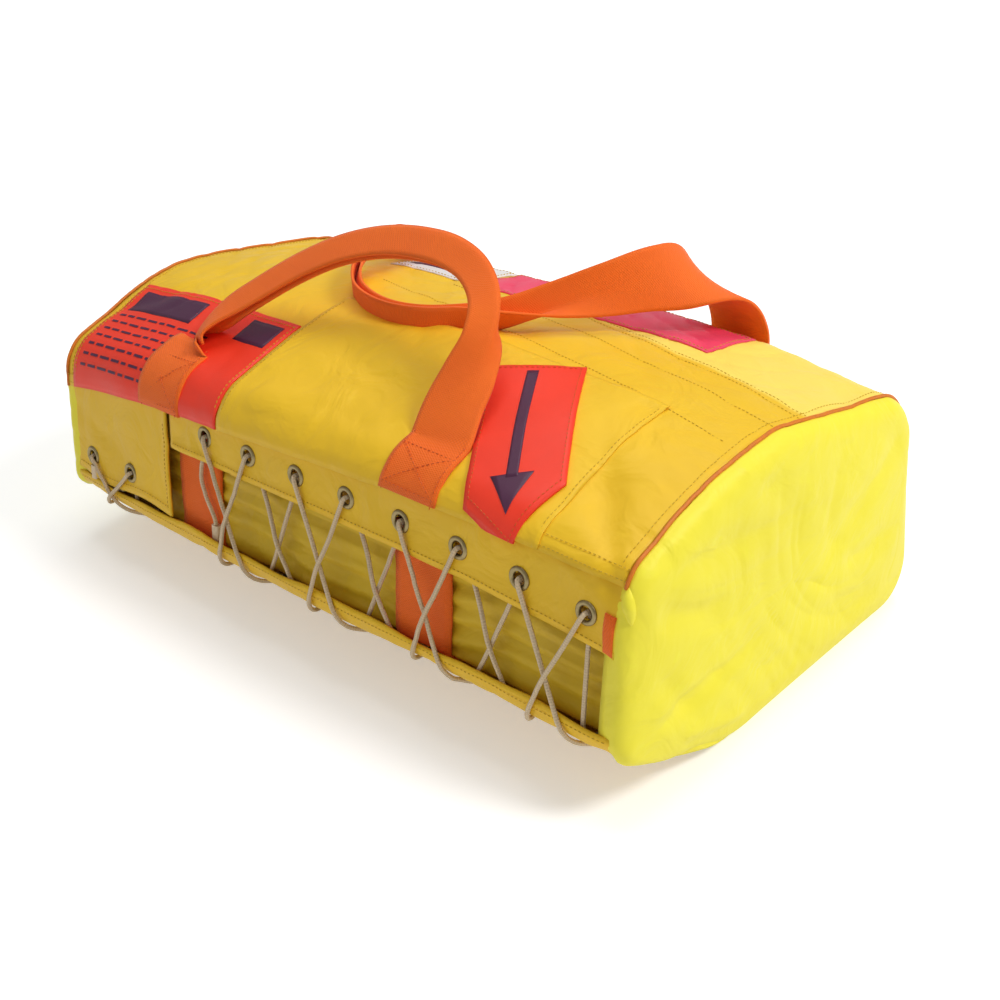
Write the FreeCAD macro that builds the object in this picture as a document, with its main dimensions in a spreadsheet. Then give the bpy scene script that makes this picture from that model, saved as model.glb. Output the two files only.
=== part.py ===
"""Packed liferaft valise: a soft, laced carrying case round a packed inflatable raft.

The case is a rolled-up sheet of coated cloth. Its two long edges meet on the front, where each carries
a doubled strip with grommets, and one cord laces the strips together criss-cross. Two webbing straps
run round the pack inside the cloth, and two webbing handles are sewn to the outside.

Frame: X along the case, Y from the laced front (-Y) to the back, Z up, origin on the floor below the
middle of the case. Millimetres.

Everything is laid up on one cross-section, a six-sided outline with rounded corners in the YZ plane.
Each layer of cloth, webbing or patch lies between two outlines parallel to it, so the layers meet face
to face when a size changes.
"""

import FreeCAD, Part

import math
import os

import Sketcher
from FreeCAD import Placement, Rotation, Vector

SIZES = [
    # the case
    ("bag_length", 590.0, "length over both end panels"),
    ("back_y", 160.8, "back side of the section"),
    ("back_bottom_radius", 34.0, "rounding along the bottom back edge"),
    ("back_top_z", 166.0, "height where the back side and the rear slope would meet"),
    ("back_top_radius", 36.0, "rounding along the top back edge"),
    ("crown_y", -22.7, "line where the rear and front slopes would meet"),
    ("crown_z", 207.0, "height of that line"),
    ("crown_radius", 200.0, "rounding of the crown"),
    ("shoulder_y", -138.7, "line where the front slope and the laced front would meet"),
    ("shoulder_z", 171.0, "height of that line"),
    ("shoulder_radius", 30.0, "rounding of the front shoulder"),
    ("rim_y", -159.7, "line where the laced front and the lower bevel would meet"),
    ("rim_z", 49.0, "height of that line"),
    ("rim_radius", 16.0, "rounding of the lower rim"),
    ("foot_y", -57.7, "line where the bevel would meet the floor side"),
    ("foot_radius", 100.0, "rounding of the foot"),
    # cloth and webbing
    ("cover_thickness", 1.5, "coated cloth of the cover and end panels"),
    ("patch_thickness", 1.0, "cloth of a patch or flap sewn on the cover"),
    ("strip_thickness", 2.0, "doubled cloth of a lacing strip"),
    ("webbing_thickness", 2.2, "flat webbing"),
    ("webbing_width", 50.0, "two-inch webbing"),
    ("lace_channel", 5.6, "room for the cord between a strip and the webbing behind it"),
    # end panels and piping
    ("end_depth", 11.0, "how far an end panel wraps round the section"),
    ("end_round", 10.0, "rounding between an end panel's face and its wrap"),
    ("piping_width", 3.0, "width of the piping along the case"),
    ("piping_proud", 2.0, "height of the piping above the cover"),
    # the laced front
    ("flap_edge_left_z", 141.0, "height of the cover's front edge at the left end"),
    ("flap_edge_right_z", 164.0, "height of the cover's front edge at the right end"),
    ("bevel_edge", 50.0, "distance of the cover's lower edge from the rim, down the bevel"),
    ("strip_edge_inset", 26.0, "how far a strip reaches behind the cover"),
    ("upper_strip_bottom", 72.0, "lower edge of the upper strip, up the front from the rim"),
    ("upper_strip_left", -141.0, "left end of the upper strip"),
    ("left_flap_bottom", 18.0, "lower edge of the left flap, up the front from the rim"),
    ("left_flap_right", -146.0, "right edge of the left flap"),
    ("rim_rise", 15.0, "how far the lower strip stands up the front above the rim"),
    ("grommet_pitch", 50.65, "spacing of the grommets"),
    ("last_grommet_inset", 23.0, "right-hand grommet, from the end of the cover"),
    ("grommet_count", 8.0, "grommets along the upper strip"),
    ("upper_hole_up", 91.0, "upper grommets, up the front from the rim"),
    ("lower_hole_down", 23.0, "lower grommets, down the bevel from the rim"),
    ("flap_hole_up", 35.0, "left flap grommets, up the front from the rim"),
    ("flap_hole_inset", 24.0, "outer grommet of the left flap, from the end of the cover"),
    ("flap_hole_pitch", 55.0, "spacing of the left flap's two grommets"),
    ("grommet_hole_radius", 4.3, "clear hole of a grommet"),
    ("grommet_barrel", 0.7, "wall of a grommet's barrel"),
    ("grommet_flange_radius", 8.0, "outer radius of a grommet"),
    ("grommet_flange", 0.8, "height of a grommet's flange above the cloth"),
    ("lace_diameter", 3.2, "braided cord"),
    ("lace_clearance", 0.5, "cord to grommet, where the cord turns into the hole"),
    ("lace_bend", 50.0, "bend of the cord where it steps over another leg"),
    ("rim_ease", 1.0, "how much tighter than the rim the cord bends round it"),
    ("slack_sway", 15.0, "how far the slack leg behind the front sways sideways"),
    ("lace_tuck", 0.6, "how much deeper the cord passes the rim before it steps over another leg"),
    ("knot_up", 20.0, "middle of a knot, up the front from the rim"),
    ("knot_length", 11.0, "knot along the cord"),
    ("knot_width", 8.0, "knot across the cord"),
    ("knot_round", 2.2, "rounding of a knot's long edges"),
    ("tag_width", 6.0, "binding tag at the end of the upper strip"),
    ("tag_inset", 0.5, "binding tag, from the end of the cover"),
    ("tag_under", 1.5, "binding tag, from the strip's lower edge"),
    ("tag_over", 7.0, "binding tag, past the line of the upper grommets"),
    # patches
    ("label_inset", 9.0, "instruction patch, left side, from the end of the cover"),
    ("label_right", -78.0, "instruction patch, right side"),
    ("label_top_y", -58.7, "instruction patch, top side"),
    ("flap_left", -76.0, "top flap, left side"),
    ("flap_right", 221.0, "top flap, right side"),
    ("flap_top_y", -13.7, "top flap, top side"),
    ("pull_width", 62.0, "pull patch, across"),
    ("pull_length", 114.0, "pull patch, along its straight sides, seen from above"),
    ("pull_point", 28.0, "length of the pull patch's pointed end, seen from above"),
    ("pull_corner_x", 98.5, "pull patch, upper left corner"),
    ("pull_corner_y", -42.7, "pull patch, upper left corner"),
    ("pull_turn", 34.0, "how far the pull patch is turned, degrees"),
    ("rear_patch_left", -48.0, "rear patch, left side"),
    ("rear_patch_right", 176.0, "rear patch, right side"),
    ("rear_patch_front", 83.3, "rear patches, front side"),
    ("rear_patch_back", 139.3, "rear patches, back side"),
    ("rear_tab_left", -138.0, "rear white patch, left side"),
    ("patch_gap", 3.0, "gap between neighbouring patches"),
    # body straps and handles
    ("left_strap_x", -117.0, "middle of the left body strap"),
    ("right_strap_x", 118.0, "middle of the right body strap"),
    ("strap_top_z", 135.0, "height where the body straps end on the front and back"),
    ("front_left_leg_x", -149.0, "middle of the front handle's left leg"),
    ("front_right_leg_x", 115.0, "middle of the front handle's right leg"),
    ("front_lift_y", -108.7, "line where the front handle leaves the cover"),
    ("rear_left_leg_x", -149.0, "middle of the rear handle's left leg"),
    ("rear_right_leg_x", 143.0, "middle of the rear handle's right leg"),
    ("rear_leg_bottom_z", 84.0, "lower end of the rear handle's sewn legs"),
    ("rear_lift_z", 132.0, "height where the rear handle leaves the cover"),
    ("front_loop_back", 88.0, "how far back the front handle leans from where it leaves the cover"),
    ("front_loop_rise", 84.0, "height of the front handle above where it leaves the cover"),
    ("rear_loop_forward", 188.0, "how far forward the rear handle reaches from its legs"),
    ("rear_loop_rise", 88.0, "height of the rear handle above where it leaves the cover"),
    ("grip_width", 25.0, "grip, where the webbing is folded in two lengthways"),
]

SHEET = "Sizes"
X_AXIS = Vector(1, 0, 0)
CLEAR = 40.0  # how far a cutting shape reaches past what it cuts

doc = FreeCAD.newDocument("liferaft_valise")
sheet = doc.addObject("Spreadsheet::Sheet", SHEET)
sheet.set("A1", "size")
sheet.set("B1", "value")
sheet.set("C1", "what it is")
for row, (alias, number, meaning) in enumerate(SIZES, start=2):
    sheet.set(f"A{row}", alias)
    sheet.set(f"B{row}", str(number))
    sheet.setAlias(f"B{row}", alias)
    sheet.set(f"C{row}", meaning)
doc.recompute()


def size(alias):
    """Value of one driving dimension."""
    return float(sheet.get(alias))


def cell(alias):
    """The same dimension as an expression."""
    return f"{SHEET}.{alias}"


def bind(thing, **texts):
    """Tie properties of an object to expressions; a double underscore stands for a dot."""
    for name, text in texts.items():
        thing.setExpression(name.replace("__", "."), text)


def solid_check(thing):
    """Stop at the first object whose shape failed."""
    if {"Invalid", "Error"} & set(thing.State):
        raise RuntimeError(f"{thing.Name} failed: {thing.State}")


# ---------------------------------------------------------------- the section

CORNERS = ["foot", "back_bottom", "back_top", "crown", "shoulder", "rim"]
SIDES = ["bottom", "back", "rear_slope", "front_slope", "front", "bevel"]
LACED = ("front", "bevel")  # the sides that stand back behind the lacing


def corner_expressions():
    """Y and Z of the section's six corners, as expressions."""
    floor = cell("cover_thickness")
    return [
        (cell("foot_y"), floor),
        (cell("back_y"), floor),
        (cell("back_y"), cell("back_top_z")),
        (cell("crown_y"), cell("crown_z")),
        (cell("shoulder_y"), cell("shoulder_z")),
        (cell("rim_y"), cell("rim_z")),
    ]


def corner_points():
    """The same corners as numbers."""
    floor = size("cover_thickness")
    return [
        (size("foot_y"), floor),
        (size("back_y"), floor),
        (size("back_y"), size("back_top_z")),
        (size("crown_y"), size("crown_z")),
        (size("shoulder_y"), size("shoulder_z")),
        (size("rim_y"), size("rim_z")),
    ]


class Level:
    """An outline parallel to the section: signed steps outwards, as (sign, size name) pairs."""

    def __init__(self, steps, laced_steps=None):
        self.steps = {side: steps for side in SIDES}
        for side in LACED:
            self.steps[side] = steps if laced_steps is None else laced_steps

    def grow(self, side):
        return sum(sign * size(name) for sign, name in self.steps[side])

    def grow_text(self, side):
        return " ".join(f"{'+' if sign > 0 else '-'} {cell(name)}" for sign, name in self.steps[side])

    def tight_side(self, index):
        """Of the two sides at a corner, the one that lies further in."""
        before, after = SIDES[index - 1], SIDES[index]
        return before if self.grow(before) < self.grow(after) else after

    def corners(self):
        """Where the moved sides would meet."""
        base = corner_points()
        lines = []
        for index, side in enumerate(SIDES):
            (y0, z0), (y1, z1) = base[index], base[(index + 1) % len(base)]
            run = math.hypot(y1 - y0, z1 - z0)
            along = ((y1 - y0) / run, (z1 - z0) / run)
            step = self.grow(side)
            lines.append(((y0 + along[1] * step, z0 - along[0] * step), along))
        moved = []
        for index in range(len(SIDES)):
            (point, along), (other, across) = lines[index - 1], lines[index]
            cross = along[0] * across[1] - along[1] * across[0]
            reach = ((other[0] - point[0]) * across[1] - (other[1] - point[1]) * across[0]) / cross
            moved.append((point[0] + along[0] * reach, point[1] + along[1] * reach))
        return moved

    def radii(self):
        return [size(f"{name}_radius") + self.grow(self.tight_side(index))
                for index, name in enumerate(CORNERS)]

    def rounds(self):
        """Start, middle and end of each corner's arc, with its centre."""
        moved = self.corners()
        found = []
        for index, radius in enumerate(self.radii()):
            corner = Vector(0, *moved[index])
            back = (Vector(0, *moved[index - 1]) - corner).normalize()
            ahead = (Vector(0, *moved[(index + 1) % len(moved)]) - corner).normalize()
            half = back.getAngle(ahead) / 2
            bisector = (back + ahead).normalize()
            centre = corner + bisector * (radius / math.sin(half))
            reach = radius / math.tan(half)
            found.append((corner + back * reach, centre - bisector * radius, corner + ahead * reach, centre))
        return found


PACK = Level([(-1, "webbing_thickness")],
             [(-1, "strip_thickness"), (-1, "lace_channel"), (-1, "webbing_thickness")])
STRAP = Level([], [(-1, "strip_thickness"), (-1, "lace_channel")])
STRIP = Level([(-1, "strip_thickness")])
INNER = Level([])
COVER = Level([(1, "cover_thickness")])
PATCH = Level([(1, "cover_thickness"), (1, "patch_thickness")])
SECOND_PATCH = Level([(1, "cover_thickness"), (1, "patch_thickness"), (1, "patch_thickness")])
WEBBING = Level([(1, "cover_thickness"), (1, "patch_thickness"), (1, "webbing_thickness")])
REAR_WEBBING = Level([(1, "cover_thickness"), (1, "webbing_thickness")])
PIPING = Level([(1, "cover_thickness"), (1, "piping_proud")])


def draw_section(sketch, level):
    """Draw a level's outline: six sides and six tangent arcs, tied to a construction polygon."""
    flat = [Vector(point[0], point[1], 0) for point in corner_points()]
    polygon = []
    for index, start in enumerate(flat):
        end = flat[(index + 1) % len(flat)]
        polygon.append(sketch.addGeometry(Part.LineSegment(start, end), True))
    rounds = [[Vector(p.y, p.z, 0) for p in arc] for arc in level.rounds()]
    sides, arcs = [], []
    for index in range(len(SIDES)):
        start = rounds[index][2]
        end = rounds[(index + 1) % len(rounds)][0]
        sides.append(sketch.addGeometry(Part.LineSegment(start, end), False))
    for start, middle, end, centre in rounds:
        arcs.append(sketch.addGeometry(Part.Arc(start, middle, end), False))

    def tie(*what):
        return sketch.addConstraint(Sketcher.Constraint(*what))

    for index, (text_y, text_z) in enumerate(corner_expressions()):
        tie("Coincident", polygon[index - 1], 2, polygon[index], 1)
        drives = (("DistanceX", text_y, flat[index].x), ("DistanceY", text_z, flat[index].y))
        for kind, text, number in drives:
            place = tie(kind, -1, 1, polygon[index], 1, number)
            sketch.setExpression(f"Constraints[{place}]", text)
    for index, side in enumerate(SIDES):
        step = level.grow(side)
        if level.steps[side]:
            tie("Parallel", sides[index], polygon[index])
            gap = tie("Distance", sides[index], 1, polygon[index], abs(step))
            sketch.setExpression(f"Constraints[{gap}]", f"abs({level.grow_text(side)})")
        else:
            tie("PointOnObject", sides[index], 1, polygon[index])
            tie("PointOnObject", sides[index], 2, polygon[index])
    for index, name in enumerate(CORNERS):
        start_at, end_at = arc_ends(sketch, arcs[index], rounds[index][0])
        tie("Tangent", sides[index - 1], 2, arcs[index], start_at)
        tie("Tangent", arcs[index], end_at, sides[index], 1)
        radius = tie("Radius", arcs[index], level.radii()[index])
        text = f"{cell(name + '_radius')} {level.grow_text(level.tight_side(index))}"
        sketch.setExpression(f"Constraints[{radius}]", text)


def arc_ends(sketch, arc, start):
    """Which ends of an arc lie at the outline's incoming and outgoing side."""
    first = sketch.getPoint(arc, 1)
    return (1, 2) if first.distanceToPoint(start) < 1e-6 else (2, 1)


def section_sketch(name, level):
    """A level's outline as a sketch of its own, in the YZ plane."""
    sketch = doc.addObject("Sketcher::SketchObject", name)
    sketch.Placement = Placement(Vector(), Rotation(Vector(1, 1, 1), 120))
    draw_section(sketch, level)
    return sketch


def body_section(body, name, level):
    """A level's outline as a sketch in a body, on its YZ plane."""
    sketch = body.newObject("Sketcher::SketchObject", name)
    plane = next(item for item in body.Origin.OriginFeatures if item.Role == "YZ_Plane")
    sketch.AttachmentSupport = (plane, [""])
    sketch.MapMode = "FlatFace"
    draw_section(sketch, level)
    return sketch


def level_solid(name, level):
    """The section at one level, extruded over the whole case."""
    prism = doc.addObject("Part::Extrusion", name)
    prism.Base = section_sketch(name + "_section", level)
    prism.DirMode = "Custom"
    prism.Dir = X_AXIS
    prism.Solid = True
    prism.Symmetric = True
    bind(prism, LengthFwd=cell("bag_length"))
    return prism


def cut(name, base, tool):
    result = doc.addObject("Part::Cut", name)
    result.Base = base
    result.Tool = tool
    result.Label = name
    return result


def common(name, base, tool):
    result = doc.addObject("Part::Common", name)
    result.Base = base
    result.Tool = tool
    result.Label = name
    return result


def box(name, low, high):
    """A cutting box between two corners, each given as three expressions."""
    block = doc.addObject("Part::Box", name)
    for axis, side in enumerate(("Length", "Width", "Height")):
        block.setExpression(side, f"({high[axis]}) - ({low[axis]})")
        block.setExpression(f"Placement.Base.{'xyz'[axis]}", low[axis])
    return block


def prism_up(name, corners, low_z):
    """An upright cutting prism over a plan outline of (x, y) numbers."""
    outline = doc.addObject("Part::Polygon", name + "_plan")
    outline.Nodes = [Vector(x, y, low_z) for x, y in corners]
    outline.Close = True
    prism = doc.addObject("Part::Extrusion", name)
    prism.Base = outline
    prism.DirMode = "Custom"
    prism.Dir = Vector(0, 0, 1)
    prism.Solid = True
    bind(prism, LengthFwd=cell("crown_z"))
    return prism


levels = {
    "strip_level": level_solid("strip_level", STRIP),
    "inner_level": level_solid("inner_level", INNER),
    "cover_level": level_solid("cover_level", COVER),
    "patch_level": level_solid("patch_level", PATCH),
    "second_patch_level": level_solid("second_patch_level", SECOND_PATCH),
    "webbing_level": level_solid("webbing_level", WEBBING),
    "rear_webbing_level": level_solid("rear_webbing_level", REAR_WEBBING),
    "piping_level": level_solid("piping_level", PIPING),
    "strap_level": level_solid("strap_level", STRAP),
    "pack_level": level_solid("pack_level", PACK),
}
strip_ring = cut("strip_ring", levels["inner_level"], levels["strip_level"])
cover_ring = cut("cover_ring", levels["cover_level"], levels["inner_level"])
patch_ring = cut("patch_ring", levels["patch_level"], levels["cover_level"])
second_patch_ring = cut("second_patch_ring", levels["second_patch_level"], levels["patch_level"])
leg_ring = cut("leg_ring", levels["webbing_level"], levels["patch_level"])
rear_leg_ring = cut("rear_leg_ring", levels["rear_webbing_level"], levels["cover_level"])
piping_ring = cut("piping_ring", levels["piping_level"], levels["inner_level"])
strap_ring = cut("strap_ring", levels["strap_level"], levels["pack_level"])


# ---------------------------------------------------------------- places on the laced front

def side_frame(side):
    """A side's lower or outer corner, the direction along it away from the rim, and its outward normal."""
    points = dict(zip(CORNERS, (Vector(0, y, z) for y, z in corner_points())))
    rim = points["rim"]
    far = points["shoulder"] if side == "front" else points["foot"]
    along = (far - rim).normalize()
    outward = X_AXIS.cross(along) if side == "front" else along.cross(X_AXIS)
    return rim, along, outward


def on_side(side, x, reach, stand):
    """A point at x, `reach` from the rim along the front or the bevel, `stand` outside the section."""
    rim, along, outward = side_frame(side)
    return rim + along * reach + outward * stand + X_AXIS * x


def round_rim(x, stand):
    """Where the front and the bevel would meet, both moved outwards by `stand`."""
    rim, up, front_out = side_frame("front")
    bevel_out = side_frame("bevel")[2]
    bisector = (front_out + bevel_out).normalize()
    return rim + bisector * (stand / bisector.dot(front_out)) + X_AXIS * x


def slope_z(level, y):
    """Height of the front slope at y, on one level."""
    (crown_y, crown_z), (shoulder_y, shoulder_z) = level.corners()[3], level.corners()[4]
    return shoulder_z + (crown_z - shoulder_z) * (y - shoulder_y) / (crown_y - shoulder_y)


half_cover = f"({cell('bag_length')} / 2 - {cell('end_depth')} - {cell('piping_width')})"
cover_end = size("bag_length") / 2 - size("end_depth") - size("piping_width")
far_front = f"({cell('rim_y')} - {CLEAR})"
far_back = f"({cell('back_y')} + {CLEAR})"
far_top = f"({cell('crown_z')} + {CLEAR})"
mid_height = f"({cell('crown_z')} / 2)"
below = f"(-{CLEAR})"


def laced_opening():
    """The gap in front: below the cover's slanting front edge and in front of its lower edge."""
    lower_edge_y = on_side("bevel", 0, size("bevel_edge"), 0).y
    half = size("bag_length")
    left_z, right_z = size("flap_edge_left_z"), size("flap_edge_right_z")
    rise = (right_z - left_z) / (2 * cover_end)
    middle = (left_z + right_z) / 2
    outline = doc.addObject("Part::Polygon", "laced_opening_plan")
    outline.Nodes = [
        Vector(-half, lower_edge_y, -CLEAR),
        Vector(half, lower_edge_y, -CLEAR),
        Vector(half, lower_edge_y, middle + rise * half),
        Vector(-half, lower_edge_y, middle - rise * half),
    ]
    outline.Close = True
    wedge = doc.addObject("Part::Extrusion", "laced_opening")
    wedge.Base = outline
    wedge.DirMode = "Custom"
    wedge.Dir = Vector(0, -1, 0)
    wedge.Solid = True
    bind(wedge, LengthFwd=cell("back_y"))
    return wedge


opening = laced_opening()
parts = []


def keep(name, thing):
    """Register a finished sub-part under its own label."""
    thing.Label = name
    parts.append(thing)
    return thing


# ---------------------------------------------------------------- pack, cover, end panels, piping

def edges_at(shape, x):
    """Names of the edges that lie in the plane at x."""
    names = []
    for number, edge in enumerate(shape.Edges, start=1):
        if all(abs(vertex.X - x) < 1e-4 for vertex in edge.Vertexes):
            names.append(f"Edge{number}")
    return names


def round_edges(body, name, base, x_planes, radius_text):
    """Fillet a body's edges in the given planes across X."""
    doc.recompute()
    chosen = [edge for x in x_planes for edge in edges_at(base.Shape, x)]
    fillet = body.newObject("PartDesign::Fillet", name)
    fillet.Base = (base, chosen)
    bind(fillet, Radius=radius_text)
    return fillet


def packed_raft():
    """The folded raft with its gas cylinder and kit: one sealed, sewn-in pack."""
    body = doc.addObject("PartDesign::Body", "packed_raft")
    pad = body.newObject("PartDesign::Pad", "pack_pad")
    pad.Profile = body_section(body, "pack_section", PACK)
    pad.Midplane = True
    bind(pad, Length=f"{cell('bag_length')} - 2 * {cell('cover_thickness')}")
    half = size("bag_length") / 2 - size("cover_thickness")
    radius = f"{cell('end_round')} - {cell('cover_thickness')}"
    round_edges(body, "pack_ends", pad, (-half, half), radius)
    return body


def outer_cover():
    """The cloth round the pack, open along the laced front."""
    reach = box("cover_reach", (f"-{half_cover}", far_front, below), (half_cover, far_back, far_top))
    return cut("outer_cover", common("cover_wrap", cover_ring, reach), opening)


def rounded_plug(name, level, hand, face_x, depth_text, radius_text):
    """The section padded from its wrap line towards one end, with the rim of its face rounded."""
    body = doc.addObject("PartDesign::Body", name)
    outline = body_section(body, name + "_outline", level)
    wrap_x = size("bag_length") / 2 - size("end_depth")
    outline.AttachmentOffset = Placement(Vector(0, 0, hand * wrap_x), Rotation())
    pad = body.newObject("PartDesign::Pad", name + "_pad")
    pad.Profile = outline
    pad.Reversed = hand < 0
    bind(pad, Length=depth_text)
    round_edges(body, name + "_round", pad, (hand * face_x,), radius_text)
    return body


def end_panel(name, hand):
    """A shallow pan of cloth that closes one end and wraps round the section's edge."""
    face = size("bag_length") / 2
    outside = rounded_plug(name + "_outside", COVER, hand, face, cell("end_depth"), cell("end_round"))
    thickness = cell("cover_thickness")
    inside = rounded_plug(name + "_inside", INNER, hand, face - size("cover_thickness"),
                          f"{cell('end_depth')} - {thickness}", f"{cell('end_round')} - {thickness}")
    return cut(name, outside, inside)


def piping(name, hand):
    """A bead of piping in the seam between the cover and an end panel, pressed flat under the case."""
    inner_end = half_cover if hand > 0 else f"-({half_cover} + {cell('piping_width')})"
    outer_end = f"{half_cover} + {cell('piping_width')}" if hand > 0 else f"-{half_cover}"
    reach = box(name + "_reach", (inner_end, far_front, "0"), (outer_end, far_back, far_top))
    return cut(name, common(name + "_ring", piping_ring, reach), opening)


keep("packed_raft", packed_raft())
keep("outer_cover", outer_cover())
for hand, side in ((-1, "left"), (1, "right")):
    keep(f"{side}_end_panel", end_panel(f"{side}_end_panel", hand))
    keep(f"{side}_piping", piping(f"{side}_piping", hand))


# ---------------------------------------------------------------- lacing strips and grommets

def hole_xs(row):
    """X of each grommet in a row, from the left."""
    if row == "left_flap":
        outer = size("flap_hole_inset") - cover_end
        return [outer, outer + size("flap_hole_pitch")]
    count = int(size("grommet_count"))
    last = cover_end - size("last_grommet_inset")
    main = [last - size("grommet_pitch") * step for step in reversed(range(count))]
    return main if row == "upper" else hole_xs("left_flap") + main


ROWS = {  # side of the section, and distance of the holes from the rim
    "upper": ("front", "upper_hole_up"),
    "left_flap": ("front", "flap_hole_up"),
    "lower": ("bevel", "lower_hole_down"),
}


def hole_places(row):
    """Placements at each hole of a row: origin on the strip's outer face, Z outwards."""
    side, reach = ROWS[row]
    outward = side_frame(side)[2]
    turn = Rotation(Vector(0, 0, 1), outward)
    return [Placement(on_side(side, x, size(reach), 0), turn) for x in hole_xs(row)]


def strip(name, row, low, high):
    """A doubled strip of cloth inside the cover's line, pierced for its grommets."""
    blank = common(name + "_blank", strip_ring, box(name + "_reach", low, high))
    drills = []
    for number, place in enumerate(hole_places(row), start=1):
        drill = doc.addObject("Part::Cylinder", f"{name}_hole_{number}")
        bind(drill, Radius=f"{cell('grommet_hole_radius')} + {cell('grommet_barrel')}",
             Height=f"3 * {cell('strip_thickness')}")
        drill.Placement = place.multiply(Placement(Vector(0, 0, -2 * size("strip_thickness")), Rotation()))
        drills.append(drill)
    holes = doc.addObject("Part::Compound", name + "_holes")
    holes.Links = drills
    return cut(name, blank, holes)


behind_cover = f"({cell('shoulder_y')} + {cell('strip_edge_inset')})"
upper_strip_z = str(on_side("front", 0, size("upper_strip_bottom"), 0).z)
left_flap_z = str(on_side("front", 0, size("left_flap_bottom"), 0).z)
rim_top_z = str(on_side("front", 0, size("rim_rise"), 0).z)
behind_lower_edge = str(on_side("bevel", 0, size("bevel_edge") + size("rim_rise"), 0).y)

keep("upper_lacing_strip", strip("upper_lacing_strip", "upper",
     (cell("upper_strip_left"), far_front, upper_strip_z), (half_cover, behind_cover, far_top)))
keep("left_lacing_flap", strip("left_lacing_flap", "left_flap",
     (f"-{half_cover}", far_front, left_flap_z), (cell("left_flap_right"), behind_cover, far_top)))
keep("lower_lacing_strip", strip("lower_lacing_strip", "lower",
     (f"-{half_cover}", far_front, below), (half_cover, behind_lower_edge, rim_top_z)))


def grommet_blank():
    """One grommet: a barrel through the cloth between two dished flanges, turned about its axis."""
    bore = size("grommet_hole_radius")
    barrel = bore + size("grommet_barrel")
    brim = size("grommet_flange_radius")
    back = -size("strip_thickness")
    lip = size("grommet_flange")
    profile = doc.addObject("Part::Polygon", "grommet_profile")
    profile.Nodes = [Vector(r, 0, z) for r, z in (
        (bore, back - lip), (bore, lip), (brim, 0), (barrel, 0), (barrel, back), (brim, back))]
    profile.Close = True
    turned = doc.addObject("Part::Revolution", "grommet_blank")
    turned.Source = profile
    turned.Axis = (0, 0, 1)
    turned.Angle = 360
    turned.Solid = True
    return turned


grommet = grommet_blank()
doc.recompute()


def grommets(name, row):
    """The grommets of one row, as separate solids of one node."""
    group = doc.addObject("Part::Feature", name)
    solids = []
    for place in hole_places(row):
        copy = grommet.Shape.copy()
        copy.Placement = place
        solids.append(copy)
    group.Shape = Part.makeCompound(solids)
    return group


keep("upper_grommets", grommets("upper_grommets", "upper"))
keep("left_flap_grommets", grommets("left_flap_grommets", "left_flap"))
keep("lower_grommets", grommets("lower_grommets", "lower"))


# ---------------------------------------------------------------- lacing

lace_out = size("grommet_flange") + size("lace_diameter") / 2 + size("lace_clearance")
lace_in = -(size("strip_thickness") + lace_out)
turn_radius = 0.49 * (lace_out - lace_in)
cross_step = 1.1 * size("lace_diameter")


def hole_ends(row, x, inwards):
    """The cord's two corners at a hole, in the order in which it passes them."""
    side, reach = ROWS[row]
    outer, inner = (on_side(side, x, size(reach), stand) for stand in (lace_out, lace_in))
    corners = (outer, inner) if inwards else (inner, outer)
    return [(corner, turn_radius) for corner in corners]


def leg(upper_row, upper_x, lower_x, outside, over, upwards):
    """Corners of the cord between a lower and an upper hole: round the rim, and clear of its crossing."""
    up, down = size(ROWS[upper_row][1]), size("lower_hole_down")
    lift = cross_step if over else 0.0
    stand = (lace_out if outside else lace_in)
    share = down / (up + down)
    close_crossing = upper_row == "left_flap"
    rim_stand = stand + (lift if close_crossing else 0.0)
    if over and not outside and not close_crossing:
        rim_stand -= size("lace_tuck")
    rim_radius = max(size("rim_radius") + rim_stand - size("rim_ease"), turn_radius)
    points = [(round_rim(lower_x + (upper_x - lower_x) * share, rim_stand), rim_radius)]
    if over and not close_crossing:
        middle = (lower_x + upper_x) / 2
        points.append((on_side("front", middle, (up + down) / 2 - down, stand + lift), size("lace_bend")))
    return points if upwards else points[::-1]


def rounded_wire(route):
    """Straight runs joined by tangent arcs, through (corner, radius) pairs."""
    edges = []
    start = route[0][0]
    for (before, _), (corner, radius), (after, _) in zip(route, route[1:], route[2:]):
        back = (before - corner).normalize()
        ahead = (after - corner).normalize()
        half = back.getAngle(ahead) / 2
        reach = radius / math.tan(half)
        limit = 0.49 * min((before - corner).Length, (after - corner).Length)
        if reach > limit:
            reach = limit
            radius = reach * math.tan(half)
        first = corner + back * reach
        last = corner + ahead * reach
        middle = corner + (back + ahead).normalize() * (radius / math.sin(half) - radius)
        edges.append(Part.LineSegment(start, first).toShape())
        edges.append(Part.Arc(first, middle, last).toShape())
        start = last
    edges.append(Part.LineSegment(start, route[-1][0]).toShape())
    return Part.Wire(edges)


def cord(name, route):
    """A round cord swept along its route."""
    path = rounded_wire(route)
    start = route[0][0]
    heading = (route[1][0] - start).normalize()
    ring = Part.Wire([Part.makeCircle(size("lace_diameter") / 2, start, heading)])
    tube = doc.addObject("Part::Feature", name)
    tube.Shape = path.makePipeShell([ring], True, False)
    expected = path.Length * math.pi * (size("lace_diameter") / 2) ** 2
    if abs(tube.Shape.Volume / expected - 1) > 0.01:
        raise RuntimeError(f"{name} is not a plain tube along its route")
    print(f"{name}: {path.Length:.0f} mm of cord")
    return tube


def knot_point(x, up):
    """A point on the cord's line behind the lower strip, `up` from the middle of its knot."""
    return on_side("front", x, size("knot_up") + up, lace_in)


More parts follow.
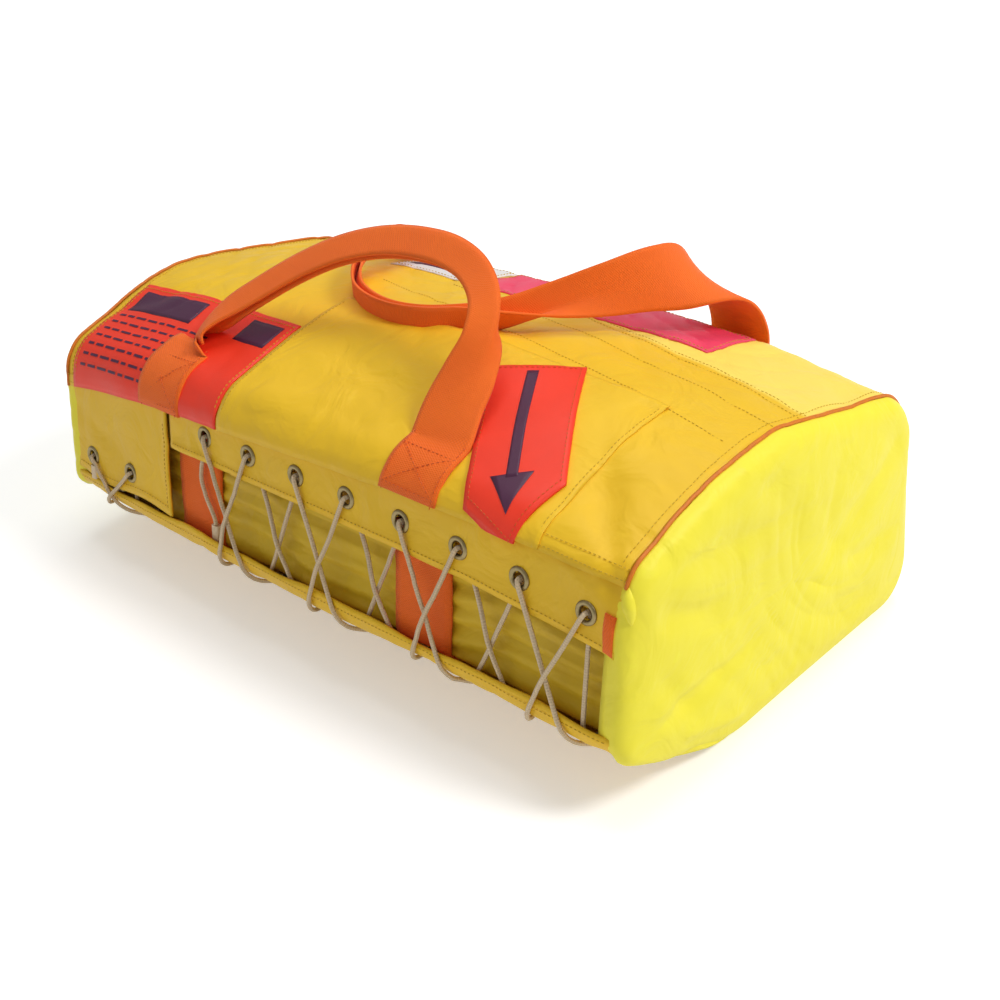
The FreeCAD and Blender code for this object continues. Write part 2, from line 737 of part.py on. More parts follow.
def knot(x):
    """The knot that ties a cord's two ends together."""
    length, width, depth = size("knot_length"), size("knot_width"), size("lace_channel") - 0.4
    block = Part.makeBox(width, depth, length, Vector(-width / 2, -depth / 2, -length / 2))
    long_edges = [edge for edge in block.Edges if edge.BoundBox.ZLength > 0.9 * length]
    block = block.makeFillet(size("knot_round"), long_edges)
    block.Placement = Placement(knot_point(x, 0), Rotation(Vector(0, 0, 1), side_frame("front")[1]))
    return block


def lace_stops(count):
    """Rows and grommet numbers in the cord's order: out along one zigzag and back along the other."""
    there = [("upper" if number % 2 == 0 else "lower", number) for number in range(count)]
    back = [("lower" if number % 2 == 0 else "upper", number) for number in reversed(range(count))]
    return there + back


def criss_cross(upper_row, slack):
    """Route of one lace: its legs run outside and inside the strips by turns, and its ends meet in a knot."""
    xs = hole_xs(upper_row)
    stops = lace_stops(len(xs))
    rows = {"upper": upper_row, "lower": "lower"}
    reach = size(ROWS[upper_row][1])
    half_knot = size("knot_length") / 2
    route = [(knot_point(xs[0], half_knot), 0.0)]
    for aside, share in slack:
        sway = size("slack_sway") * aside
        route.append((on_side("front", xs[0] + sway, reach * share, lace_in), size("lace_bend")))
    for number, (row, hole) in enumerate(stops):
        leaves_inside = number % 2 == 1
        route += hole_ends(rows[row], xs[hole], leaves_inside)
        if number + 1 < len(stops):
            next_row, next_hole = stops[number + 1]
            upper_x, lower_x = (xs[hole], xs[next_hole]) if row == "upper" else (xs[next_hole], xs[hole])
            over = number >= len(xs)
            route += leg(upper_row, upper_x, lower_x, not leaves_inside, over, next_row == "upper")
    route.append((round_rim(xs[0], lace_in), size("rim_radius") + lace_in - size("rim_ease")))
    route.append((knot_point(xs[0], -half_knot), 0.0))
    return route


# Share of the sway, and share of the way up, at points of the slack leg.
FRONT_SLACK = [(0.0, 0.34), (-0.73, 0.5), (-1.0, 0.66), (-0.53, 0.82)]

keep("front_lace", cord("front_lace", criss_cross("upper", FRONT_SLACK)))
keep("left_flap_lace", cord("left_flap_lace", criss_cross("left_flap", [])))
knots = doc.addObject("Part::Feature", "lace_knots")
knots.Shape = Part.makeCompound([knot(hole_xs("left_flap")[0]), knot(hole_xs("upper")[0])])
keep("lace_knots", knots)

tag_low = str(on_side("front", 0, size("upper_strip_bottom") + size("tag_under"), 0).z)
tag_high = str(on_side("front", 0, size("upper_hole_up") + size("tag_over"), 0).z)
tag_right = f"({half_cover} - {cell('tag_inset')})"
keep("strip_binding_tag", common("strip_binding_tag", cover_ring, box(
    "tag_reach", (f"{tag_right} - {cell('tag_width')}", far_front, tag_low), (tag_right, "0", tag_high))))


# ---------------------------------------------------------------- patches and body straps

def front_patch(name, left, right, top_y):
    """A patch on the front slope, from top_y down to the cover's front edge."""
    reach = box(name + "_reach", (left, far_front, mid_height), (right, top_y, far_top))
    return cut(name, common(name + "_blank", patch_ring, reach), opening)


def rear_patch(name, left, right):
    """A patch on the rear slope."""
    low = (left, cell("rear_patch_front"), mid_height)
    return common(name, patch_ring, box(name + "_reach", low, (right, cell("rear_patch_back"), far_top)))


def pull_patch():
    """A long patch with a pointed lower end, sewn on askew over the top flap."""
    turn = math.radians(size("pull_turn"))
    across = Vector(math.cos(turn), math.sin(turn), 0)
    down = Vector(math.sin(turn), -math.cos(turn), 0)
    corner = Vector(size("pull_corner_x"), size("pull_corner_y"), 0)
    width, length, point = size("pull_width"), size("pull_length"), size("pull_point")
    outline = [corner, corner + across * width, corner + across * width + down * length,
               corner + across * (width / 2) + down * (length + point), corner + down * length]
    plan = prism_up("pull_patch_plan", [(p.x, p.y) for p in outline], size("crown_z") / 2)
    return common("pull_patch", second_patch_ring, plan)


label_left = f"({cell('label_inset')} - {half_cover})"
keep("instruction_patch", front_patch("instruction_patch", label_left, cell("label_right"),
                                      cell("label_top_y")))
keep("top_flap", front_patch("top_flap", cell("flap_left"), cell("flap_right"), cell("flap_top_y")))
keep("pull_patch", pull_patch())
keep("rear_patch", rear_patch("rear_patch", cell("rear_patch_left"), cell("rear_patch_right")))
keep("rear_white_patch", rear_patch("rear_white_patch", cell("rear_tab_left"),
                                    f"{cell('rear_patch_left')} - {cell('patch_gap')}"))


def across(x_cell, sign):
    """One side of a strap, half its width from its middle."""
    return f"({cell(x_cell)} {'+' if sign > 0 else '-'} {cell('webbing_width')} / 2)"


def body_strap(name, x_cell):
    """Webbing round the front, underside and back of the pack, inside the cover."""
    reach = box(name + "_reach", (across(x_cell, -1), far_front, below), (across(x_cell, 1), far_back,
                cell("strap_top_z")))
    return common(name, strap_ring, reach)


keep("left_body_strap", body_strap("left_body_strap", "left_strap_x"))
keep("right_body_strap", body_strap("right_body_strap", "right_strap_x"))


# ---------------------------------------------------------------- handles

STATIONS = 40  # sections along a loop of webbing


def loop(name, sections):
    """A band of webbing through rectangular sections, each given by its four corners."""
    frames = []
    for number, corners in enumerate(sections, start=1):
        frame = doc.addObject("Part::Polygon", f"{name}_section_{number}")
        frame.Nodes = corners
        frame.Close = True
        frames.append(frame)
    band = doc.addObject("Part::Loft", name)
    band.Sections = frames
    band.Solid = True
    band.Ruled = True
    return band


def band_section(middle, width_way, heading, width, thickness):
    """A rectangle across the band; its width lies along width_way, squared to the heading."""
    heading = Vector(heading).normalize()
    wide = (width_way - heading * width_way.dot(heading)).normalize() * (width / 2)
    thick = heading.cross(wide).normalize() * (thickness / 2)
    return [middle - wide - thick, middle + wide - thick, middle + wide + thick, middle - wide + thick]


def band_sections(first, route, last, start, end):
    """Sections along a smooth curve through a route's points, between two given end sections."""
    points = [start] + [middle for middle, _, _ in route] + [end]
    ways = [first[1] - first[0]] + [way for _, way, _ in route] + [last[1] - last[0]]
    grips = [0.0] + [grip for _, _, grip in route] + [0.0]
    marks = [0.0]
    for near, far in zip(points, points[1:]):
        marks.append(marks[-1] + near.distanceToPoint(far))
    curve = Part.BSplineCurve()
    curve.interpolate(Points=points, Parameters=marks)
    sections = [first]
    for step in range(1, STATIONS):
        mark = marks[-1] * step / STATIONS
        knot_before = max(n for n in range(len(marks) - 1) if marks[n] <= mark)
        share = (mark - marks[knot_before]) / (marks[knot_before + 1] - marks[knot_before])
        way_before, way_after = (Vector(ways[knot_before + n]).normalize() for n in (0, 1))
        way = way_before * (1 - share) + way_after * share
        grip = grips[knot_before] * (1 - share) + grips[knot_before + 1] * share
        width = size("webbing_width") + (size("grip_width") - size("webbing_width")) * grip
        thickness = size("webbing_thickness") * (1 + grip)
        heading = curve.tangent(mark)[0]
        corners = band_section(curve.value(mark), way, heading, width, thickness)
        if min((corner - behind).dot(heading) for corner, behind in zip(corners, sections[-1])) < 0:
            raise RuntimeError(f"the webbing folds through itself at station {step}")
        sections.append(corners)
    return sections + [last]


def handle(name, band, legs):
    """A band joined to the two legs that are sewn to the cover."""
    pieces = [band, legs[1], legs[0]]
    whole = pieces[0]
    for number, piece in enumerate(pieces[1:], start=1):
        joined = doc.addObject("Part::Fuse", name if number == len(legs) else f"{name}_join_{number}")
        joined.Base = whole
        joined.Tool = piece
        whole = joined
    doc.recompute()
    if abs(whole.Shape.Volume / sum(piece.Shape.Volume for piece in pieces) - 1) > 0.01:
        raise RuntimeError(f"{name} has lost one of its pieces")
    return whole


# Share of the way from left to right leg, share of the reach back, share of the rise, and how far the
# webbing is folded into a grip.
FRONT_ROUTE = [
    (0.015, 0.125, 0.107, 0.5), (0.07, 0.284, 0.286, 0.9), (0.155, 0.477, 0.476, 1),
    (0.26, 0.682, 0.679, 1), (0.386, 0.841, 0.857, 1), (0.52, 0.955, 0.964, 1), (0.64, 1.0, 1.0, 1),
    (0.754, 1.0, 0.988, 1), (0.86, 0.932, 0.905, 1), (0.945, 0.773, 0.75, 0.9),
    (0.983, 0.591, 0.56, 0.65), (0.985, 0.398, 0.369, 0.35), (0.985, 0.193, 0.179, 0.1),
]
FRONT_LEAN = 45.0  # lean of the front handle's plane, degrees from upright


def front_handle():
    """The front loop: sewn over the shoulder, folded into a grip, and leaning back over the top."""
    left, right = size("front_left_leg_x"), size("front_right_leg_x")
    lift_y = size("front_lift_y")
    low_z, high_z = slope_z(PATCH, lift_y), slope_z(WEBBING, lift_y)
    half = size("webbing_width") / 2

    def leg_section(x, hand):
        corners = [(-1, low_z), (1, low_z), (1, high_z), (-1, high_z)]
        return [Vector(x + hand * side * half, lift_y, z) for side, z in corners]

    base = Vector(0, lift_y, (low_z + high_z) / 2)
    lean = math.radians(FRONT_LEAN)
    face = Vector(0, -math.sin(lean), math.cos(lean))
    slope_face = Vector(0, low_z - slope_z(PATCH, lift_y + 1), 1).normalize()
    loop_back, loop_rise = size("front_loop_back"), size("front_loop_rise")
    points = [base + Vector(left + share * (right - left), back * loop_back, rise * loop_rise)
              for share, back, rise, _ in FRONT_ROUTE]
    ends = [Vector(left, base.y, base.z)] + points + [Vector(right, base.y, base.z)]
    route = []
    for before, point, after, (_, _, _, grip) in zip(ends, points, ends[2:], FRONT_ROUTE):
        facing = slope_face + (face - slope_face) * min(1.0, 2 * grip)
        route.append((point, facing.cross(after - before), grip))
    sections = band_sections(leg_section(left, -1), route, leg_section(right, 1), ends[0], ends[-1])
    legs = []
    for hand, x_cell in (("left", "front_left_leg_x"), ("right", "front_right_leg_x")):
        reach = box(f"front_{hand}_leg_reach", (across(x_cell, -1), far_front, mid_height),
                    (across(x_cell, 1), cell("front_lift_y"), far_top))
        legs.append(cut(f"front_{hand}_leg", common(f"front_{hand}_leg_blank", leg_ring, reach), opening))
    return handle("front_handle", loop("front_loop", sections), legs)


# Share of the way from left to right leg, share of the reach forward, share of the rise, the way the
# webbing's width points, and how far it is folded into a grip.
REAR_ROUTE = [
    (0.0, 0.011, 0.295, (1, 0, 0), 0), (0.01, 0.09, 0.591, (1, 0, 0), 0.1),
    (0.027, 0.255, 0.795, (1, 0, 0.1), 0.3), (0.055, 0.457, 0.92, (0.9, 0, 0.45), 0.7),
    (0.113, 0.649, 0.989, (0.6, 0.1, 0.8), 1), (0.195, 0.819, 1.011, (0.25, 0.15, 1), 1),
    (0.298, 0.947, 1.0, (0, 0.1, 1), 1), (0.414, 1.0, 1.0, (0, 0.15, 1), 1),
    (0.524, 0.989, 1.011, (0, 0.15, 1), 1), (0.627, 0.915, 1.023, (0, 0.1, 1), 1),
    (0.723, 0.819, 1.057, (0, 0, 1), 0.8), (0.812, 0.691, 1.102, (0, 0, 1), 0.5),
    (0.887, 0.543, 1.125, (0, 0, 1), 0.25), (0.945, 0.383, 1.114, (-0.3, 0, 1), 0.1),
    (0.986, 0.234, 1.011, (-0.75, 0, 0.6), 0), (1.007, 0.106, 0.784, (-1, 0, 0.25), 0),
    (1.01, 0.011, 0.432, (-1, 0, 0.05), 0),
]


def rear_handle():
    """The rear loop: sewn to the back, flopped forward over the top and standing on its edge there."""
    left, right = size("rear_left_leg_x"), size("rear_right_leg_x")
    lift_z = size("rear_lift_z")
    near_y = size("back_y") + size("cover_thickness")
    far_y = near_y + size("webbing_thickness")
    half = size("webbing_width") / 2

    def leg_section(x, hand, inner, outer):
        corners = [(-1, inner), (1, inner), (1, outer), (-1, outer)]
        return [Vector(x + hand * side * half, y, lift_z) for side, y in corners]

    start = Vector(left, (near_y + far_y) / 2, lift_z)
    end = Vector(right, start.y, lift_z)
    route = []
    for share, forward, rise, width_way, grip in REAR_ROUTE:
        back, up = -forward * size("rear_loop_forward"), rise * size("rear_loop_rise")
        point = start + Vector(share * (right - left), back, up)
        route.append((point, Vector(*width_way), grip))
    sections = band_sections(leg_section(left, 1, near_y, far_y), route,
                             leg_section(right, -1, near_y, far_y), start, end)
    legs = []
    for hand, x_cell in (("left", "rear_left_leg_x"), ("right", "rear_right_leg_x")):
        reach = box(f"rear_{hand}_leg_reach", (across(x_cell, -1), "0", cell("rear_leg_bottom_z")),
                    (across(x_cell, 1), far_back, cell("rear_lift_z")))
        legs.append(common(f"rear_{hand}_leg", rear_leg_ring, reach))
    return handle("rear_handle", loop("rear_loop", sections), legs)


keep("front_handle", front_handle())
keep("rear_handle", rear_handle())


# ---------------------------------------------------------------- check and write

doc.recompute()
for thing in doc.Objects:
    solid_check(thing)
for thing in parts:
    if thing.Shape.isNull() or not thing.Shape.isValid() or not thing.Shape.Solids:
        raise RuntimeError(f"{thing.Label} has no valid solid")

os.makedirs("parts", exist_ok=True)
for thing in parts:
    thing.Shape.exportStep(f"parts/{thing.Label}.step")
    print(f"{thing.Label}: {len(thing.Shape.Solids)} solid(s), {thing.Shape.Volume:.0f} mm3")
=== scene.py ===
"""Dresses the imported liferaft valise: coated cloth, laced front, webbing handles and sewn patches."""

import math

import bpy
import numpy as np
from bpy.props import FloatProperty, FloatVectorProperty, IntProperty, PointerProperty
from bpy.types import Operator, Panel, PropertyGroup
from mathutils import Matrix, Vector


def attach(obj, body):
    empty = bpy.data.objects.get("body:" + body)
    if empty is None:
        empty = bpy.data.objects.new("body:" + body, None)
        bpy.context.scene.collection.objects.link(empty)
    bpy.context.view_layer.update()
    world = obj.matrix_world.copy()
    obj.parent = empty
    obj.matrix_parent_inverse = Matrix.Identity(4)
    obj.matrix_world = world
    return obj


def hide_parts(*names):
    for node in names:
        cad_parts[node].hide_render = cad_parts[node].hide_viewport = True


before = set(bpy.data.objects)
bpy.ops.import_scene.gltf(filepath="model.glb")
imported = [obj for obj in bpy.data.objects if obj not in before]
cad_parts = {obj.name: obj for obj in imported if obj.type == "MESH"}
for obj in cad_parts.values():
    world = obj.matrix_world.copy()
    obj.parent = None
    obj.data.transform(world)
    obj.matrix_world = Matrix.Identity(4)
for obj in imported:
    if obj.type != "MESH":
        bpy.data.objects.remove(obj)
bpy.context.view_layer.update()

bl_info = {
    "name": "Packed liferaft valise",
    "version": (1, 0, 0),
    "blender": (4, 5, 0),
    "location": "View3D > Sidebar > Valise",
    "description": "Builds the cloth, webbing, lacing and patches of a packed liferaft valise",
    "category": "Object",
}

MM = 0.001


def linear(code):
    """A hex sRGB colour as linear red, green, blue and alpha."""
    parts = [int(code[i:i + 2], 16) / 255 for i in (1, 3, 5)]
    return tuple(c / 12.92 if c <= 0.04045 else ((c + 0.055) / 1.055) ** 2.4 for c in parts) + (1.0,)


def length(name, description, default):
    """A length in metres, shown in the scene's units."""
    return FloatProperty(name=name, description=description, default=default, unit="LENGTH", precision=4)


def colour(name, description, code):
    """A colour given as hex sRGB."""
    return FloatVectorProperty(name=name, description=description, default=linear(code), size=4,
                               subtype="COLOR", min=0.0, max=1.0)


class ValiseSizes(PropertyGroup):
    """Lengths of the soft pieces."""

    cover_thickness: length("Cover", "Coated cloth of the cover", 0.0015)
    patch_thickness: length("Patch", "Cloth of a sewn patch", 0.0010)
    strip_thickness: length("Strip", "Doubled cloth of a lacing strip", 0.0020)
    webbing_thickness: length("Webbing thickness", "Flat webbing", 0.0022)
    webbing_width: length("Webbing width", "Two-inch webbing", 0.050)
    lace_channel: length("Lace channel", "Room for the cord behind the strips", 0.0056)
    lace_diameter: length("Lace", "Braided cord", 0.0032)
    crown_rise: length("Crown rise", "How much the filled case swells in the middle", 0.006)
    end_drop: length("End drop", "How much the top falls towards the ends", 0.010)
    lump: length("Lumps", "Height of the contents' lumps under the cloth", 0.0026)
    wrinkle: length("Wrinkles", "Depth of the creases in handled cloth", 0.0019)
    end_swell: length("End swell", "How far an end panel swells past its rim", 0.005)
    end_tuck: length("End tuck", "How far an end panel reaches in behind the lacing strips", 0.012)
    piping_bead: length("Piping bead", "Radius of the piping", 0.0013)
    hem: length("Hem", "Extra thickness of a turned hem", 0.0009)
    stitch_pitch: length("Stitch pitch", "From one stitch to the next", 0.0034)
    stitch_length: length("Stitch", "Length of one stitch", 0.0026)
    thread: length("Thread", "Thickness of the sewing thread", 0.0007)
    eyelet_bore: length("Eyelet bore", "Radius of an eyelet's hole", 0.0043)
    eyelet_brim: length("Eyelet brim", "Outer radius of an eyelet", 0.0080)
    grid: length("Cloth grid", "Spacing of the cloth's mesh", 0.0038)
    lace_sides: IntProperty(name="Lace sides", description="Sides of the cord's section", default=8, min=6)


class ValiseColours(PropertyGroup):
    """Colours of the cloth, webbing, print and metal."""

    golden: colour("Golden cloth", "Cover and flaps", "#F2C31C")
    # Partly painted highlight: the end panels get a lighter, more lemon copy of the cover cloth, painted as
    # if lit; part of the lemon hue is the cloth's own.
    lemon_lit: colour("Lemon cloth", "End panels in fresh cloth", "#FCEB3C")
    # Painted highlight: the rear slope is painted in this paler colour where light falls on it.
    lit_rear_slope: colour("Faded cloth", "Rear slope, paler from the sun", "#F8DC5E")
    # Painted shade: the raft cloth has the cover's yellow, painted darker as in the shade of its recess
    # behind the lacing.
    shaded_olive: colour("Inner cloth", "Raft cloth behind the lacing", "#DDB81E")
    webbing: colour("Webbing", "Handles and straps", "#FF6C18")
    red: colour("Patch red", "Printed patches", "#FF3A1E")
    rose: colour("Patch rose", "Rear patch", "#F2486A")
    white: colour("Patch white", "Rear tab", "#E9E6E4")
    ink: colour("Ink", "Printed bands and arrow", "#4E2140")
    cord: colour("Cord", "Braided lace", "#E3CBA6")
    piping: colour("Piping", "Binding of the end seams", "#D9760F")
    metal: colour("Eyelets", "Dull plated brass", "#9A8A62")
    floor: colour("Floor", "Plain pale floor", "#F7F7F6")


# ---------------------------------------------------------------- the case's outline

# Corners of the section in millimetres (y, z, rounding), clockwise seen from the right-hand end.
RIM, SHOULDER, CROWN = (-159.7, 49.0, 16.0), (-138.7, 171.0, 30.0), (-22.7, 207.0, 200.0)
BACK_TOP, BACK_BOTTOM, FOOT = (160.8, 166.0, 36.0), (160.8, 1.5, 34.0), (-57.7, 1.5, 100.0)
CORNERS = [RIM, SHOULDER, CROWN, BACK_TOP, BACK_BOTTOM, FOOT]
HALF = 0.295  # half the case's length, over the end panels
COVER_END = 0.281  # end of the cover, at the piping
LEFT_EDGE_Z, RIGHT_EDGE_Z = 0.141, 0.164  # the cover's front edge at its two ends
ARC_STEPS = 24


def unit(y, z):
    """A direction of length one."""
    size = math.hypot(y, z)
    return y / size, z / size


def walk_outline():
    """Distance, y, z and outward normal along the section, up the front from the middle of the rim."""
    rows = []
    count = len(CORNERS)
    for index, (y, z, radius) in enumerate(CORNERS):
        before, after = CORNERS[index - 1], CORNERS[(index + 1) % count]
        into = unit(y - before[0], z - before[1])
        out = unit(after[0] - y, after[1] - z)
        turn = math.acos(max(-1.0, min(1.0, into[0] * out[0] + into[1] * out[1])))
        reach = radius * math.tan(turn / 2)
        normal = (-into[1], into[0])
        centre = (y - into[0] * reach - normal[0] * radius, z - into[1] * reach - normal[1] * radius)
        for step in range(ARC_STEPS + 1):
            angle = -turn * step / ARC_STEPS
            facing = (normal[0] * math.cos(angle) - normal[1] * math.sin(angle),
                      normal[0] * math.sin(angle) + normal[1] * math.cos(angle))
            rows.append((centre[0] + facing[0] * radius, centre[1] + facing[1] * radius) + facing)
    rows = rows[ARC_STEPS // 2:] + rows[:ARC_STEPS // 2 + 1]
    rows = np.array(rows)
    rows[:, :2] *= MM
    steps = np.hypot(*np.diff(rows[:, :2], axis=0).T)
    return np.concatenate([[0.0], np.cumsum(steps)]), rows


WALK, OUTLINE = walk_outline()
ROUND = WALK[-1]


def section(s):
    """y, z and outward normal at distance s along the outline."""
    s = np.mod(np.asarray(s, float), ROUND)
    return tuple(np.interp(s, WALK, OUTLINE[:, n]) for n in range(4))


def on_front(z):
    """Distance along the outline at height z on the front."""
    mask = WALK < 0.20
    return np.interp(z, OUTLINE[mask, 1], WALK[mask])


def on_top(y):
    """Distance along the outline at y on the two slopes."""
    mask = (WALK > 0.11) & (WALK < 0.46)
    return np.interp(y, OUTLINE[mask, 0], WALK[mask])


def on_back(z):
    """Distance along the outline at height z on the back."""
    mask = (WALK > 0.40) & (WALK < 0.66)
    return np.interp(-z, -OUTLINE[mask, 1], WALK[mask])


RIM_CUT = 0.0017  # the rounded rim is this much shorter than its corner, each way


def up(reach):
    """Distance along the outline, `reach` up the front from the rim's corner."""
    return reach - RIM_CUT


def down(reach):
    """Distance along the outline, `reach` down the bevel from the rim's corner."""
    return RIM_CUT - reach


def front_edge(x):
    """Distance along the outline of the cover's slanting front edge."""
    share = (np.asarray(x) + COVER_END) / (2 * COVER_END)
    return on_front(LEFT_EDGE_Z + (RIGHT_EDGE_Z - LEFT_EDGE_Z) * share)


COVER_STOP = ROUND + down(0.050)


def run_along(points):
    """Distance from the first point to each one, along them."""
    return np.concatenate([[0.0], np.cumsum(np.linalg.norm(np.diff(points, axis=0), axis=1))])


def smooth(value, low, high):
    """0 below low, 1 above high, and a soft step between."""
    t = np.clip((value - low) / (high - low), 0.0, 1.0)
    return t * t * (3 - 2 * t)


# Folds pressed into the cloth: two ends in millimetres, width and depth; a negative depth is a ridge.
FOLDS = [
    ((272, -138, 168), (205, -60, 200), 8, 3.2), ((284, -150, 150), (262, -120, 178), 6, 3.4),
    ((272, -150, 158), (284, -146, 110), 6, -2.6), ((238, -146, 160), (281, -128, 176), 7, -2.2),
    ((295, -135, 150), (295, -60, 115), 9, 5.0), ((295, -150, 60), (295, -30, 75), 8, 4.6),
    ((293, -150, 42), (293, -50, 22), 8, -5.0), ((295, 150, 150), (295, 30, 90), 11, 4.0),
    ((295, -120, 170), (295, -10, 150), 9, 3.6), ((295, 120, 25), (295, 10, 60), 12, 3.6),
    ((295, -20, 200), (295, 20, 110), 13, 3.0), ((295, 145, 70), (295, 60, 78), 9, 3.2),
    ((295, -135, 110), (295, -95, 45), 8, 3.6), ((60, 90, 184), (200, 60, 190), 10, 2.0),
    ((-250, -30, 205), (-120, 10, 200), 11, 2.2), ((-285, -100, 185), (-200, -40, 200), 10, 2.4),
    ((-40, -60, 196), (60, -90, 187), 10, 2.0), ((20, 20, 200), (170, -10, 204), 11, 1.8),
    ((-295, -120, 60), (-295, 20, 90), 9, 3.0), ((-295, 120, 150), (-295, 0, 110), 10, 3.0),
    ((-200, 160, 60), (60, 160, 90), 12, 2.4), ((40, 160, 130), (240, 160, 70), 12, 2.4),
    ((250, 160, 40), (200, 160, 140), 9, 2.0), ((286, -158, 60), (262, -156, 30), 6, 2.6),
    ((255, 150, 160), (281, 80, 184), 8, 2.2), ((-60, -130, 174), (20, -105, 184), 9, -2.0),
    ((200, -140, 170), (250, -70, 196), 9, 2.2), ((-278, -146, 120), (-200, -150, 90), 9, 1.8),
]


def folds(points):
    """How far the pressed folds move each point inwards."""
    moved = np.zeros(len(points))
    for start, end, width, depth in FOLDS:
        a, b = np.array(start) * MM, np.array(end) * MM
        along = b - a
        share = np.clip((points - a) @ along / (along @ along), 0.0, 1.0)
        waver = 0.004 * np.sin(share * 9 + start[1])
        gap = np.linalg.norm(points - (a + share[:, None] * along), axis=1) + waver * 0.5
        fade = np.sin(np.pi * np.clip(share * 0.9 + 0.05, 0, 1)) ** 0.7
        moved += depth * MM * fade * np.exp(-(gap / (width * MM)) ** 2)
    return moved


def lumps(points):
    """Soft unevenness of the contents, from -1 to 1."""
    x, y, z = points.T
    return (np.sin(17 * x + 2.1 * np.sin(14 * y) + 1.0) * np.sin(21 * y + 9 * z + 0.7)
            + 0.6 * np.sin(41 * x - 23 * y + 13 * z + 2.0) * np.sin(33 * z + 12 * x)
            + 0.35 * np.sin(75 * x + 31 * z) * np.sin(67 * y - 20 * x + 1.1)) / 1.95


def wrinkles(points):
    """Creases of handled cloth, from 0 to 1, gathered in patches."""
    x, y, z = points.T
    warp = 2.2 * np.sin(19 * x + 23 * y + 1.3) + 1.4 * np.sin(31 * z - 27 * x)
    ways = (46 * x + 58 * y + 20 * z + warp, 71 * y - 38 * x + 44 * z + 1.7 * warp,
            90 * z + 60 * y + 33 * x - warp)
    patchy = 0.5 + 0.5 * np.sin(13 * x + 17 * y + 1.0) * np.sin(11 * z + 15 * x)
    return sum((1 - np.abs(np.sin(way))) ** 3 for way in ways) * patchy / 1.6


def soften(points, normals):
    """The resting shape of the filled case: crowned, falling towards its ends, and gently lumpy."""
    sizes = bpy.context.scene.valise_sizes
    x, y, z = points.T
    far = np.clip(np.abs(x) / HALF, 0.0, 1.0)
    high = smooth(z, 0.03, 0.16)
    moved = points.copy()
    moved[:, 2] += (sizes.crown_rise * (1 - far ** 2) - sizes.end_drop * far ** 4) * high
    moved[:, 1] *= 1 - 0.03 * far ** 5
    free = smooth(z, 0.004, 0.03)
    inward = folds(points) + sizes.wrinkle * wrinkles(points) - sizes.lump * lumps(points)
    return moved - normals * (inward * free)[:, None]


def surface(x, s, stand):
    """Points at x and s on the softened case, `stand` outside its outline."""
    x, s, stand = np.broadcast_arrays(np.asarray(x, float), np.asarray(s, float), np.asarray(stand, float))
    shape = x.shape
    y, z, ny, nz = section(s.ravel())
    normals = np.stack([np.zeros_like(ny), ny, nz], axis=1)
    points = np.stack([x.ravel(), y, z], axis=1)
    placed = soften(points, normals) + normals * stand.ravel()[:, None]
    return placed.reshape(shape + (3,))


# ---------------------------------------------------------------- mesh helpers

def new_piece(name, vertices, faces, material, replaced=(), uvs=None):
    """A mesh piece that rides on the case."""
    mesh = bpy.data.meshes.new(name)
    mesh.from_pydata([tuple(v) for v in vertices], [], faces)
    mesh.validate()
    if uvs is not None:
        layer = mesh.uv_layers.new(name="cloth")
        flat = np.array(uvs, float)[np.array([loop.vertex_index for loop in mesh.loops])]
        layer.data.foreach_set("uv", flat.ravel())
    for polygon in mesh.polygons:
        polygon.use_smooth = True
    mesh.materials.append(material)
    piece = bpy.data.objects.new(name, mesh)
    bpy.context.collection.objects.link(piece)
    finish_piece(piece, replaced)
    return piece


def finish_piece(piece, replaced):
    """Rides a piece on the case and the CAD nodes that it stands for."""
    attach(piece, "root")
    if replaced:
        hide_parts(*replaced)


def grid_faces(rows, columns, keep=None, flip=False, closed=False):
    """Quads of a grid whose first index runs along rows; those that keep marks false are left out."""
    faces = []
    for row in range(rows - 1):
        for column in range(columns if closed else columns - 1):
            if keep is not None and not keep[row, column]:
                continue
            after = (column + 1) % columns
            quad = [row * columns + column, (row + 1) * columns + column,
                    (row + 1) * columns + after, row * columns + after]
            faces.append(quad[::-1] if flip else quad)
    return faces


def thicken(piece, thickness, offset=-1.0):
    """Gives a sheet its thickness, as plain mesh."""
    wall = piece.modifiers.new("wall", "SOLIDIFY")
    wall.thickness = thickness
    wall.offset = offset
    wall.use_even_offset = False
    make_plain(piece)
    return piece


def make_plain(piece):
    """Turns the evaluated shape into the piece's own mesh and removes its modifiers."""
    graph = bpy.context.evaluated_depsgraph_get()
    mesh = bpy.data.meshes.new_from_object(piece.evaluated_get(graph), preserve_all_data_layers=True,
                                           depsgraph=graph)
    piece.modifiers.clear()
    piece.data = mesh


